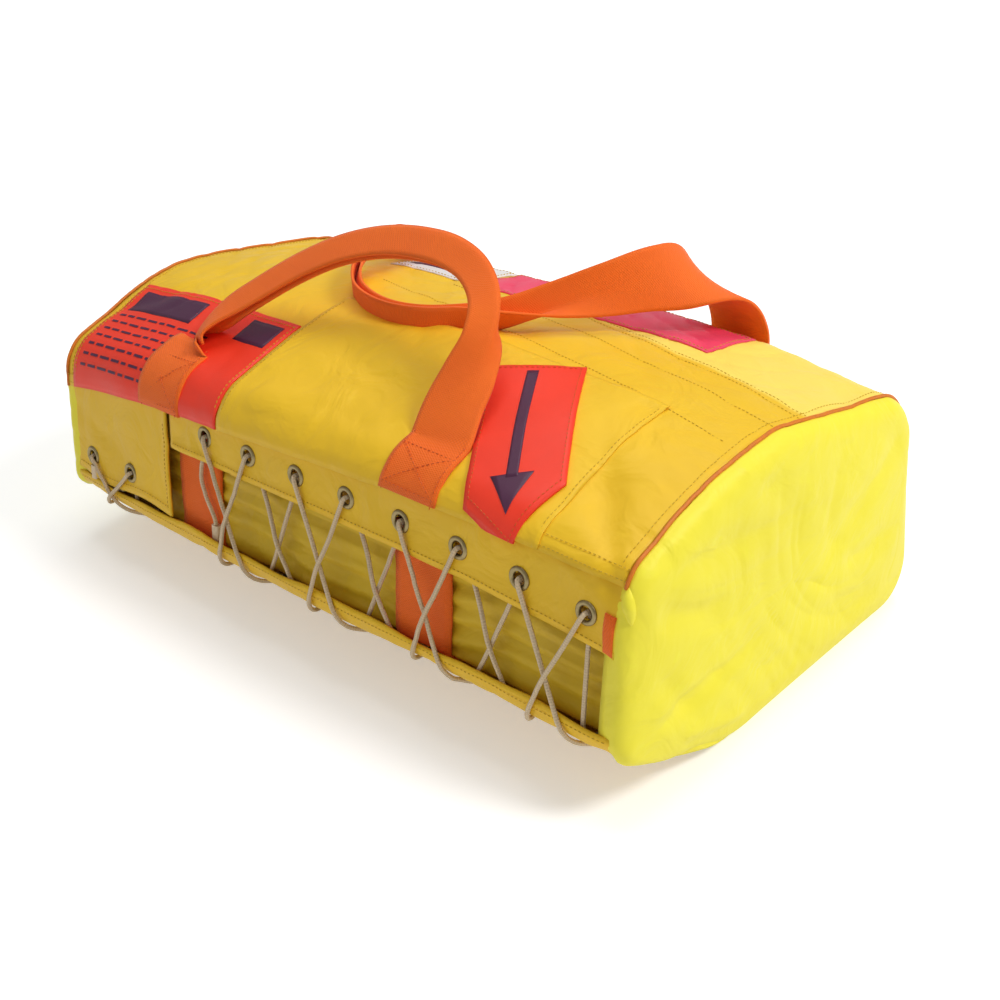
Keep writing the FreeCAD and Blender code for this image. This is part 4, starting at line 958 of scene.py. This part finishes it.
class VALISE_OT_ends(Operator):
    """Soft end panels with their creases, and the piping in the end seams"""

    bl_idname = "valise.ends"
    bl_label = "End panels and piping"

    def execute(self, context):
        for side, hand in (("left", -1), ("right", 1)):
            self.end_panel(context, side, hand)
            self.piping(context, side, hand)
        return {"FINISHED"}

    def end_panel(self, context, side, hand):
        """A pan of cloth: its wrap round the section, a soft edge, and a swollen face."""
        sizes = context.scene.valise_sizes
        around = 260
        s = np.linspace(0, ROUND, around, endpoint=False)
        y, z, ny, nz = section(s)
        laced = 1 - smooth(np.minimum(np.abs(s - 0.055), np.abs(s - 0.055 - ROUND)), 0.085, 0.10)
        tuck = sizes.end_tuck * laced
        centre = np.array([0.004, 0.100])
        rows = []
        edge, turns = 0.010, 7
        for share in (0.0, 0.35, 0.7, 1.0):
            x = COVER_END + 0.002 - tuck * (1 - share) + 0.001 * share
            rows.append(surface(hand * x, s, sizes.cover_thickness - 0.0042 * laced * (1 - share)))
        start = COVER_END + 0.003
        for step in range(1, turns + 1):
            angle = math.pi / 2 * step / turns
            x = start + edge * math.sin(angle)
            stand = sizes.cover_thickness - edge * (1 - math.cos(angle))
            rows.append(surface(hand * x, s, stand))
        rim = rows[-1]
        inward = sizes.cover_thickness - edge
        base_y, base_z = y + ny * inward, z + nz * inward
        for share in np.linspace(0.03, 0.985, 30):
            flat_y = base_y + (centre[0] - base_y) * share
            flat_z = base_z + (centre[1] - base_z) * share
            x = np.full(around, start + edge)
            flat = np.stack([hand * x, flat_y, flat_z], axis=1)
            facing = np.tile([float(hand), 0.0, 0.0], (around, 1))
            placed = soften(flat, facing)
            swell = sizes.end_swell * math.sin(math.pi / 2 * min(1.0, share * 1.6)) ** 0.8
            placed[:, 0] += hand * swell
            blend = smooth(share, 0.0, 0.12)
            edge_line = np.stack([hand * x, base_y, base_z], axis=1)
            placed = placed * blend + (rim + (flat - edge_line)) * (1 - blend)
            rows.append(placed)
        tip = rows[-1].mean(axis=0)
        vertices = np.concatenate(rows + [tip[None, :]])
        faces = grid_faces(len(rows), around, flip=hand < 0, closed=True)
        last = (len(rows) - 1) * around
        for n in range(around):
            cap = [last + n, len(vertices) - 1, last + (n + 1) % around]
            faces.append(cap[::-1] if hand < 0 else cap)
        uvs = vertices[:, 1:]
        # The end cloth takes the lighter lemon copy of the cloth, a painted highlight.
        panel = new_piece(f"{side}_end_cloth", vertices, faces, finish_of("lemon_lit"),
                          [f"{side}_end_panel"], uvs)
        self.settle(context, panel, around * 5, hand)
        thicken(panel, sizes.cover_thickness)

    def settle(self, context, panel, held, hand):
        """Lets the end cloth settle under the pressure of the contents, held at its wrap."""
        before = np.array([v.co for v in panel.data.vertices])
        pins = panel.vertex_groups.new(name="held")
        pins.add(list(range(held)), 1.0, "REPLACE")
        sim = panel.modifiers.new("cloth", "CLOTH")
        sim.settings.vertex_group_mass = "held"
        sim.settings.use_pressure = True
        sim.settings.uniform_pressure_force = 1.5
        sim.settings.effector_weights.gravity = 0.0
        sim.settings.quality = 6
        sim.settings.tension_stiffness = 25
        sim.settings.compression_stiffness = 8
        sim.settings.bending_stiffness = 0.4
        sim.settings.mass = 0.4
        sim.point_cache.frame_start = 1
        sim.point_cache.frame_end = SETTLE_FRAMES
        for number in range(1, SETTLE_FRAMES + 1):
            context.scene.frame_set(number)
        make_plain(panel)
        after = np.array([v.co for v in panel.data.vertices])
        moved = after - before
        size = np.linalg.norm(moved, axis=1)
        moved *= (np.minimum(size, SETTLE_MOST) / np.maximum(size, 1e-9))[:, None]
        panel.data.vertices.foreach_set("co", (before + moved).astype(np.float32).ravel())
        context.scene.frame_set(1)
        panel.vertex_groups.clear()

    def piping(self, context, side, hand):
        """A bead of piping from the cover's front edge over the top and down the back."""
        x = hand * (COVER_END + 0.0015)
        s = np.arange(float(front_edge(hand * COVER_END)), on_back(0.012), 0.004)
        waver = 0.0006 * np.sin(s * 60)
        sizes = context.scene.valise_sizes
        path = surface(x + waver, s, sizes.cover_thickness + sizes.piping_bead * 0.5)
        tube(f"{side}_seam_piping", path, sizes.piping_bead, 8, finish_of("piping"),
             [f"{side}_piping"])
        if hand > 0:
            self.pinches(side, hand)

    def pinches(self, side, hand):
        """Folded ears of end cloth: one below the piping's front end, one along the bottom front corner."""
        share = np.linspace(0, 1, 30)
        swell = np.sin(math.pi * np.clip(share * 0.96 + 0.02, 0, 1)) ** 0.8
        for name, first, last, fattest, sunk in (
                ("upper_ear", float(front_edge(hand * COVER_END)) + 0.004, up(0.098), 0.0042, 0.0008),
                ("lower_ear", down(0.030), down(0.118), 0.0050, 0.0012)):
            x = COVER_END + 0.002 + 0.006 * share
            path = surface(hand * x, first + (last - first) * share, 0.0015 - sunk * 2)
            # The ears take the same end cloth, painted lighter as a highlight.
            tube(f"{side}_{name}", path, fattest * swell, 12, finish_of("lemon_lit"))


class VALISE_OT_strips(Operator):
    """Lacing strips with their hems and holes, the left flap and the binding tag"""

    bl_idname = "valise.strips"
    bl_label = "Lacing strips"

    def execute(self, context):
        sizes = context.scene.valise_sizes
        xs = span(STRIP_LEFT, COVER_END, LACING_STEP)
        self.strip("upper", "upper_strip", "upper_lacing_strip", xs, up(STRIP_BOTTOM),
                   front_edge(xs) + UNDER_EDGE, [("low", 0.006)], "stretched")
        xs = span(-COVER_END, FLAP_RIGHT, LACING_STEP)
        self.strip("flap", "left_flap", "left_lacing_flap", xs, up(FLAP_BOTTOM) + 0.002 * np.sin(xs * 60),
                   front_edge(xs) + UNDER_EDGE, [("low", 0.008), ("right", 0.006)], "hung")
        xs = span(-COVER_END, COVER_END, LACING_STEP)
        wavy = 0.0012 * np.sin(xs * 37) + 0.0008 * np.sin(xs * 91)
        self.strip("lower", "lower_strip", "lower_lacing_strip", xs, down(0.063), up(RIM_RISE) + wavy,
                   [("high", 0.006)], "stretched")
        top = STRIP_STAND + sizes.hem
        xs = span(STRIP_LEFT + 0.004, COVER_END - 0.004, 0.004)
        seam(xs, np.full(len(xs), up(STRIP_BOTTOM) + 0.004), top)
        xs = span(-COVER_END + 0.004, FLAP_RIGHT - 0.004, 0.004)
        seam(xs, up(FLAP_BOTTOM) + 0.002 * np.sin(xs * 60) + 0.006, top)
        seam(FLAP_RIGHT - 0.004, np.linspace(up(FLAP_BOTTOM) + 0.006, 0.085, 20), top)
        xs = span(-COVER_END + 0.004, COVER_END - 0.004, 0.004)
        seam(xs, np.full(len(xs), up(RIM_RISE) - 0.004), top)
        xs = span(COVER_END - 0.0085, COVER_END - 0.001, 0.0015)
        tag = cloth("binding_tag", xs, up(STRIP_BOTTOM) + 0.001, up(UPPER_HOLE_UP + 0.008), 0.0012,
                    finish_of("webbing"), ["strip_binding_tag"])
        thicken(tag, 0.0012)
        return {"FINISHED"}

    def strip(self, row, name, replaced, xs, low, high, hems, held):
        """One lacing strip with its row of holes."""
        sizes = bpy.context.scene.valise_sizes
        cut = sizes.eyelet_bore + HOLE_EASE
        piece = cloth(name, xs, low, high, STRIP_STAND, finish_of("flap"), [replaced],
                      hems=hems, held=held, holes=[(x, s, cut) for x, s in hole_rows()[row]])
        thicken(piece, sizes.strip_thickness * 0.9)


class VALISE_OT_eyelets(Operator):
    """Rolled brass eyelets in the strips"""

    bl_idname = "valise.eyelets"
    bl_label = "Eyelets"

    def execute(self, context):
        sizes = context.scene.valise_sizes
        tree = eyelet_tree()
        nodes = {"upper": "upper_grommets", "flap": "left_flap_grommets", "lower": "lower_grommets"}
        for row, places in hole_rows().items():
            x, s = np.array(places).T
            points = surface(x, s, -sizes.strip_thickness * 0.2)
            _, _, ny, nz = section(s)
            facing = np.stack([0 * ny, ny, nz], axis=1)
            values = {"Bore": sizes.eyelet_bore, "Brim": sizes.eyelet_brim, "Height": 0.0016,
                      "Material": finish_of("metal")}
            grown(f"{row}_eyelets", points, [], tree, values, [nodes[row]], facing)
        return {"FINISHED"}


class VALISE_OT_laces(Operator):
    """Braided cord laced criss-cross through the eyelets"""

    bl_idname = "valise.laces"
    bl_label = "Laces"

    def execute(self, context):
        sizes = context.scene.valise_sizes
        radius = sizes.lace_diameter / 2
        first = MAIN_HOLES[0]
        inside = -(sizes.strip_thickness + radius + 0.0009)
        slack = [(first - sway, s, inside) for sway, s in
                 ((0.001, 0.031), (0.010, 0.043), (0.015, 0.058), (0.009, 0.073), (0.002, 0.083))]
        front = smooth_path(lace_path(MAIN_HOLES, UPPER_HOLE_UP, slack))
        tube("front_cord", front, radius, sizes.lace_sides, finish_of("cord"), ["front_lace"])
        small = smooth_path(lace_path(FLAP_HOLES, FLAP_HOLE_UP, []))
        tube("flap_cord", small, radius, sizes.lace_sides, finish_of("cord"),
             ["left_flap_lace"])
        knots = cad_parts["lace_knots"]
        knots.data.materials.clear()
        knots.data.materials.append(finish_of("knot"))
        return {"FINISHED"}


class VALISE_OT_patches(Operator):
    """Sewn patches, the top flap and their plain printed fields"""

    bl_idname = "valise.patches"
    bl_label = "Patches"

    def execute(self, context):
        sizes = context.scene.valise_sizes
        self.level = sizes.cover_thickness + sizes.patch_thickness
        self.front_patch("top_flap_cloth", -0.076, 0.221, -0.0137, "flap", "cover_cloth", "top_flap")
        self.front_patch("instruction_cloth", -0.272, -0.078, -0.0587, "red", "label_red",
                         "instruction_patch")
        self.instruction_print()
        self.pull_patch(context)
        for name, low, high, finish, slot, replaced in (
                ("rear_patch_cloth", -0.048, 0.176, "rose", "label_red", "rear_patch"),
                ("rear_tab_cloth", -0.138, -0.051, "white", "patch_white", "rear_white_patch")):
            xs = span(low, high, sizes.grid)
            s_low, s_high = on_top(REAR_PATCHES[0]), on_top(REAR_PATCHES[1])
            piece = cloth(name, xs, s_low, s_high, self.level, finish_of(finish), [replaced],
                          held="laid")
            thicken(piece, sizes.patch_thickness * 0.95)
            self.border(xs[0], xs[-1], s_low, s_high)
        self.field("rear_tab_band", -0.132, -0.058, float(on_top(0.0985)), float(on_top(0.121)), self.level)
        return {"FINISHED"}

    def border(self, left, right, low, high, inset=0.003):
        """Stitches all round a patch."""
        xs = span(left + inset, right - inset, 0.004)
        seam(xs, np.full(len(xs), low + inset), self.level)
        seam(xs, np.full(len(xs), high - inset), self.level)
        for x in (left + inset, right - inset):
            seam(x, np.linspace(low + inset, high - inset, 30), self.level)

    def front_patch(self, name, left, right, top_y, finish, slot, replaced):
        """A patch from the cover's front edge up to a line on the front slope."""
        sizes = bpy.context.scene.valise_sizes
        xs = span(left, right, sizes.grid)
        low, high = front_edge(xs) + 0.0005, on_top(top_y)
        piece = cloth(name, xs, low, high, self.level, finish_of(finish), [replaced],
                      hems=[("low", 0.013)] + ([("high", 0.005)] if finish == "flap" else []),
                      held="laid")
        thicken(piece, sizes.patch_thickness * 0.95)
        seam(xs[1:-1], np.full(len(xs) - 2, high - 0.004), self.level)
        for x in (left + 0.003, right - 0.003):
            seam(x, np.linspace(float(front_edge(x)) + 0.003, high - 0.004, 40), self.level)

    def field(self, name, left, right, low, high, stand):
        """A plain field of print."""
        xs = span(left, right, 0.004)
        piece = cloth(name, xs, low, high, stand + 0.00025, finish_of("ink"))
        return thicken(piece, 0.0002)

    def instruction_print(self):
        """A dark header band in two pieces, and plain rules below it."""
        header_low, header_high = float(on_top(-0.089)), float(on_top(-0.0665))
        self.field("header_left", -0.262, -0.176, header_low, header_high, self.level)
        self.field("header_right", -0.122, -0.087, header_low, header_high, self.level)
        vertices, faces = [], []
        left, tall, gap, row_step = -0.262, 0.0020, 0.0035, 0.0085
        s = header_low - 0.008
        row = 0
        while s > float(on_front(0.156)):
            x = left
            word = 0
            while x < -0.135:
                wide = 0.006 + 0.007 * abs(math.sin(3.1 * row + 2.3 * word + 0.4))
                if x + wide < -0.132:
                    corners_x = np.array([x, x + wide, x + wide, x])
                    corners_s = np.array([s, s, s + tall, s + tall])
                    start = len(vertices)
                    vertices += list(surface(corners_x, corners_s, self.level + 0.00035))
                    faces.append([start, start + 1, start + 2, start + 3])
                x += wide + gap
                word += 1
            s -= row_step
            row += 1
        new_piece("print_rules", vertices, faces, finish_of("ink"))

    def pull_patch(self, context):
        """A pointed patch sewn on askew, with a plain arrow along it."""
        sizes = context.scene.valise_sizes
        turn = math.radians(34.0)
        across = np.array([math.cos(turn), math.sin(turn)])
        along = np.array([math.sin(turn), -math.cos(turn)])
        corner = np.array([0.0985, -0.0427])
        width, straight, point = 0.062, 0.114, 0.028
        stand = self.level + sizes.patch_thickness + sizes.hem
        rows, columns = 48, 20
        v, u = np.meshgrid(np.linspace(0, 1, rows), np.linspace(0, 1, columns), indexing="ij")
        reach = straight + point * (1 - np.abs(2 * u - 1))
        plan = corner + (u * width)[..., None] * across + (v * reach)[..., None] * along
        piece = self.plan_sheet("pull_patch_cloth", plan, stand, "red", ["pull_patch"])
        thicken(piece, sizes.patch_thickness * 0.95 + sizes.hem)
        edge = [(0.05, 0.02), (0.95, 0.02), (0.95, 0.78), (0.5, 0.97), (0.05, 0.78), (0.05, 0.02)]
        for (u0, v0), (u1, v1) in zip(edge, edge[1:]):
            t = np.linspace(0, 1, 24)
            uu, vv = u0 + (u1 - u0) * t, v0 + (v1 - v0) * t
            line = corner + (uu * width)[:, None] * across + (vv * (straight + point))[:, None] * along
            seam(line[:, 0], self.plan_s(line[:, 1]), stand, "orange_thread")
        shaft = [(0.40, 0.05), (0.52, 0.05), (0.52, 0.74), (0.40, 0.74)]
        head = [(0.24, 0.72), (0.68, 0.72), (0.46, 0.90)]
        for name, shape in (("arrow_shaft", shaft), ("arrow_head", head)):
            corners = [corner + u_ * width * across + v_ * (straight + point) * along for u_, v_ in shape]
            if len(corners) == 3:
                corners = [corners[0], corners[1], corners[2], corners[2]]
            a, b, c, d = corners
            t, w = np.meshgrid(np.linspace(0, 1, 26), np.linspace(0, 1, 7), indexing="ij")
            t, w = t[..., None], w[..., None]
            field = (a * (1 - w) + b * w) * (1 - t) + (d * (1 - w) + c * w) * t
            arrow = self.plan_sheet(name, field, stand + 0.0003, "ink", ())
            thicken(arrow, 0.0002)

    def plan_s(self, y):
        """Distance along the outline for plan positions, carried on down the front past the shoulder."""
        shoulder_y = -0.146
        above = on_top(np.maximum(y, shoulder_y))
        return np.where(y > shoulder_y, above, on_top(shoulder_y) + y - shoulder_y)

    def plan_sheet(self, name, plan, stand, finish, replaced):
        """A sheet given by its plan, laid on the front slope."""
        rows, columns = plan.shape[:2]
        x, s = plan[..., 0], self.plan_s(plan[..., 1])
        points = surface(x, s, stand)
        uvs = np.stack([x.ravel(), s.ravel()], axis=1)
        return new_piece(name, points.reshape(-1, 3), grid_faces(rows, columns), finish_of(finish),
                         replaced, uvs)


class VALISE_OT_handles(Operator):
    """Webbing handles, sewn flat at their legs and folded lengthways into a grip"""

    bl_idname = "valise.handles"
    bl_label = "Handles"

    def execute(self, context):
        self.front(context)
        self.rear(context)
        return {"FINISHED"}

    def leg_rows(self, middle_x, start, stop, stand):
        """Stations of a sewn leg, from its sewn end to where it leaves the cover."""
        s = np.linspace(start, stop, max(4, int(abs(stop - start) / 0.005)))
        return [(point, (1, 0, 0), 0.0) for point in surface(np.full(len(s), middle_x), s, stand)]

    def stitch_leg(self, context, middle_x, start, stop, stand):
        """Stitches down both edges of a leg, and a crossed box at its end."""
        half = context.scene.valise_sizes.webbing_width / 2 - 0.003
        s = np.linspace(start, stop, 40)
        for x in (middle_x - half, middle_x + half):
            seam(x, s, stand, "orange_thread")
        near, far = start + (0.004 if stop > start else -0.004), start + (stop - start) * 0.75
        for a, b in (((-half, near), (half, near)), ((-half, far), (half, far)),
                     ((-half, near), (half, far)), ((half, near), (-half, far))):
            seam(np.linspace(middle_x + a[0], middle_x + b[0], 20), np.linspace(a[1], b[1], 20), stand,
                 "orange_thread")

    def join(self, left_leg, knots, right_leg, steps):
        """Left leg, an eased loop through its knots, and right leg, as one run of stations."""
        start, end = left_leg[-1], right_leg[0]
        rows = [list(start[0]) + list(np.array(start[1], float)) + [start[2]]]
        rows += [list(point) + list(way) + [fold] for point, way, fold in knots]
        rows.append(list(end[0]) + list(np.array(end[1], float)) + [end[2]])
        run = eased(rows, steps)
        loop = [(row[:3], row[3:6], float(np.clip(row[6], 0, 1))) for row in run[1:-1]]
        return left_leg + loop + right_leg

    def front(self, context):
        """The front handle, which leans back over the top."""
        sizes = context.scene.valise_sizes
        stand = sizes.cover_thickness + sizes.patch_thickness + sizes.webbing_thickness / 2
        left_x, right_x = FRONT_LEGS
        lift_s = float(on_top(-0.1087))
        left = self.leg_rows(left_x, float(front_edge(left_x)) + 0.001, lift_s, stand)
        right = self.leg_rows(right_x, float(front_edge(right_x)) + 0.001, lift_s, stand)[::-1]
        right = [(point, (-1, 0, 0), fold) for point, _, fold in right]
        left = [(point, (-1, 0, 0), fold) for point, _, fold in left]
        lean = np.array([0.0, -math.sin(FRONT_LEAN), math.cos(FRONT_LEAN)])
        places = []
        for share, back, rise, fold in FRONT_ROUTE:
            base = left[-1][0] * (1 - share) + right[0][0] * share
            places.append((base + np.array([0.0, back * MM, rise * MM]), fold))
        ends = [left[-1][0]] + [p for p, _ in places] + [right[0][0]]
        knots = []
        for before, (point, fold), after in zip(ends, places, ends[2:]):
            heading = after - before
            way = -np.cross(lean, heading)
            way /= np.linalg.norm(way)
            knots.append((point, way, fold))
        stations = self.join(left, knots, right, 130)
        webbing_loop("front_handle_webbing", stations, ["front_handle"])
        for x in (left_x, right_x):
            self.stitch_leg(context, x, float(front_edge(x)) + 0.001, lift_s, stand + STITCH_LIFT)

    def rear(self, context):
        """The rear handle, which rises behind and falls forward over the top."""
        sizes = context.scene.valise_sizes
        stand = sizes.cover_thickness + sizes.webbing_thickness / 2
        left_x, right_x = REAR_LEGS
        low_s, lift_s = float(on_back(0.084)), float(on_back(0.132))
        left = self.leg_rows(left_x, low_s, lift_s, stand)
        right = [(point, (-1, 0, 0), fold) for point, _, fold in
                 self.leg_rows(right_x, low_s, lift_s, stand)[::-1]]
        knots = []
        for share, forward, rise, way, fold in REAR_ROUTE:
            base = left[-1][0] * (1 - share) + right[0][0] * share
            way = np.array(way, float)
            sag = REAR_SAG * math.sin(math.pi * min(1.0, max(0.0, share))) ** 0.5
            place = base + np.array([0.0, -forward * MM, (rise - sag) * MM])
            knots.append((place, way / np.linalg.norm(way), fold))
        stations = self.join(left, knots, right, 170)
        webbing_loop("rear_handle_webbing", stations, ["rear_handle"])
        for x in (left_x, right_x):
            self.stitch_leg(context, x, low_s, lift_s, stand + STITCH_LIFT)


class VALISE_OT_stitching(Operator):
    """Stitches along every noted seam"""

    bl_idname = "valise.stitching"
    bl_label = "Stitching"

    def execute(self, context):
        sizes = context.scene.valise_sizes
        tree = stitch_tree()
        for thread, slot in (("thread", "cover_cloth"), ("orange_thread", "handle_webbing")):
            vertices, edges = [], []
            for line in SEAMS[thread]:
                start = len(vertices)
                vertices += list(line)
                edges += [(start + n, start + n + 1) for n in range(len(line) - 1)]
            values = {"Pitch": sizes.stitch_pitch, "Stitch length": sizes.stitch_length,
                      "Thread": sizes.thread, "Material": finish_of(thread)}
            grown(f"{thread}_stitches", vertices, edges, tree, values)
        return {"FINISHED"}


class VALISE_OT_stage(Operator):
    """Floor, soft studio light and the camera"""

    bl_idname = "valise.stage"
    bl_label = "Stage"

    def execute(self, context):
        self.floor(context)
        self.lights(context)
        self.camera(context)
        return {"FINISHED"}

    def floor(self, context):
        """A pale floor that brightens with distance."""
        mesh = bpy.data.meshes.new("floor")
        mesh.from_pydata([(-9, -9, 0), (9, -9, 0), (9, 9, 0), (-9, 9, 0)], [], [(0, 1, 2, 3)])
        floor = bpy.data.objects.new("floor", mesh)
        context.collection.objects.link(floor)
        floor.location.z = -0.0002
        material, tree, shader = start_material("painted_floor", 0.8)
        shader.inputs["Base Color"].default_value = context.scene.valise_colours.floor
        rays = node(tree, "ShaderNodeLightPath").outputs
        place = on_piece(tree)
        dress(tree, shader, roughness=ranged(tree, noise(tree, place, 40.0), (0.7, 0.9)))
        far = node(tree, "ShaderNodeVectorMath", {0: place}, operation="LENGTH").outputs["Value"]
        glow = node(tree, "ShaderNodeEmission", {"Color": (1, 1, 1, 1),
                                                 "Strength": ranged(tree, far, (0.34, 0.9), (0.5, 3.0))})
        seen = reckoned(tree, "MAXIMUM", rays["Is Camera Ray"], rays["Is Glossy Ray"])
        clear = reckoned(tree, "MAXIMUM", seen, rays["Is Transmission Ray"])
        none = node(tree, "ShaderNodeEmission", {"Strength": 0.0})
        lit = node(tree, "ShaderNodeMixShader", {"Fac": clear, 1: none.outputs[0],
                                                 2: glow.outputs[0]})
        both = node(tree, "ShaderNodeAddShader", {0: shader.outputs[0], 1: lit.outputs[0]})
        output = next(n for n in tree.nodes if n.type == "OUTPUT_MATERIAL")
        tree.links.new(both.outputs[0], output.inputs["Surface"])
        mesh.materials.append(material)

    def lights(self, context):
        """Three soft lamps and a plain sky."""
        for name, place, size, power in (
                ("key", (2.0, 0.7, 2.1), 0.8, 40.0), ("top", (-0.2, 0.6, 2.6), 1.8, 25.0),
                ("front_fill", (-0.9, -2.4, 1.3), 2.4, 4.0)):
            light = bpy.data.lights.new(name, "AREA")
            light.energy = power
            light.shape = "DISK"
            light.size = size
            lamp = bpy.data.objects.new(name, light)
            lamp.location = place
            lamp.rotation_euler = (Vector((0, 0, 0.1)) - Vector(place)).to_track_quat("-Z", "Y").to_euler()
            context.collection.objects.link(lamp)
        world = bpy.data.worlds.new("studio")
        context.scene.world = world
        world.use_nodes = True
        tree = world.node_tree
        tree.nodes.clear()
        rays = node(tree, "ShaderNodeLightPath").outputs
        seen = reckoned(tree, "MAXIMUM", rays["Is Camera Ray"], rays["Is Transmission Ray"])
        sky = node(tree, "ShaderNodeBackground", {"Color": (1, 1, 1, 1),
                                                  "Strength": ranged(tree, seen, (0.36, 1.0))})
        node(tree, "ShaderNodeOutputWorld", {"Surface": sky.outputs[0]})
        context.scene.view_settings.view_transform = "Standard"

    def camera(self, context):
        """The camera, turned by its own right, up and back."""
        right = Vector((0.7225, 0.6854, -0.0905))
        upward = Vector((-0.2888, 0.4181, 0.8613))
        back = Vector((0.6282, -0.5961, 0.5))
        turn = Matrix((right, upward, back)).transposed().to_4x4()
        camera = bpy.data.cameras.new("camera")
        camera.lens = 54.0
        eye = bpy.data.objects.new("camera", camera)
        eye.matrix_world = Matrix.Translation(Vector((0.739, -0.656, 0.620))) @ turn
        context.collection.objects.link(eye)
        context.scene.camera = eye


class VALISE_PT_panel(Panel):
    """Sizes, colours and building steps of the valise"""

    bl_idname = "VALISE_PT_panel"
    bl_label = "Packed liferaft valise"
    bl_space_type = "VIEW_3D"
    bl_region_type = "UI"
    bl_category = "Valise"

    def draw(self, context):
        for group in (context.scene.valise_sizes, context.scene.valise_colours):
            box = self.layout.box()
            for name in group.__annotations__:
                box.prop(group, name)
        for operator in OPERATORS:
            self.layout.operator(operator.bl_idname)


OPERATORS = [VALISE_OT_stage, VALISE_OT_pack, VALISE_OT_cover, VALISE_OT_ends, VALISE_OT_strips,
             VALISE_OT_patches, VALISE_OT_handles, VALISE_OT_eyelets, VALISE_OT_laces,
             VALISE_OT_stitching]
CLASSES = [ValiseSizes, ValiseColours] + OPERATORS + [VALISE_PT_panel]


def register():
    """Registers the groups, operators and panel."""
    for item in CLASSES:
        bpy.utils.register_class(item)
    bpy.types.Scene.valise_sizes = PointerProperty(type=ValiseSizes)
    bpy.types.Scene.valise_colours = PointerProperty(type=ValiseColours)


def unregister():
    """Takes them away again, in reverse."""
    del bpy.types.Scene.valise_colours
    del bpy.types.Scene.valise_sizes
    for item in reversed(CLASSES):
        bpy.utils.unregister_class(item)


def main():
    """Registers the add-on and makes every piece."""
    register()
    bpy.ops.valise.stage()
    bpy.ops.valise.pack()
    bpy.ops.valise.cover()
    bpy.ops.valise.ends()
    bpy.ops.valise.strips()
    bpy.ops.valise.patches()
    bpy.ops.valise.handles()
    bpy.ops.valise.eyelets()
    bpy.ops.valise.laces()
    bpy.ops.valise.stitching()
    bpy.context.view_layer.update()


if __name__ == "__main__":
    main()
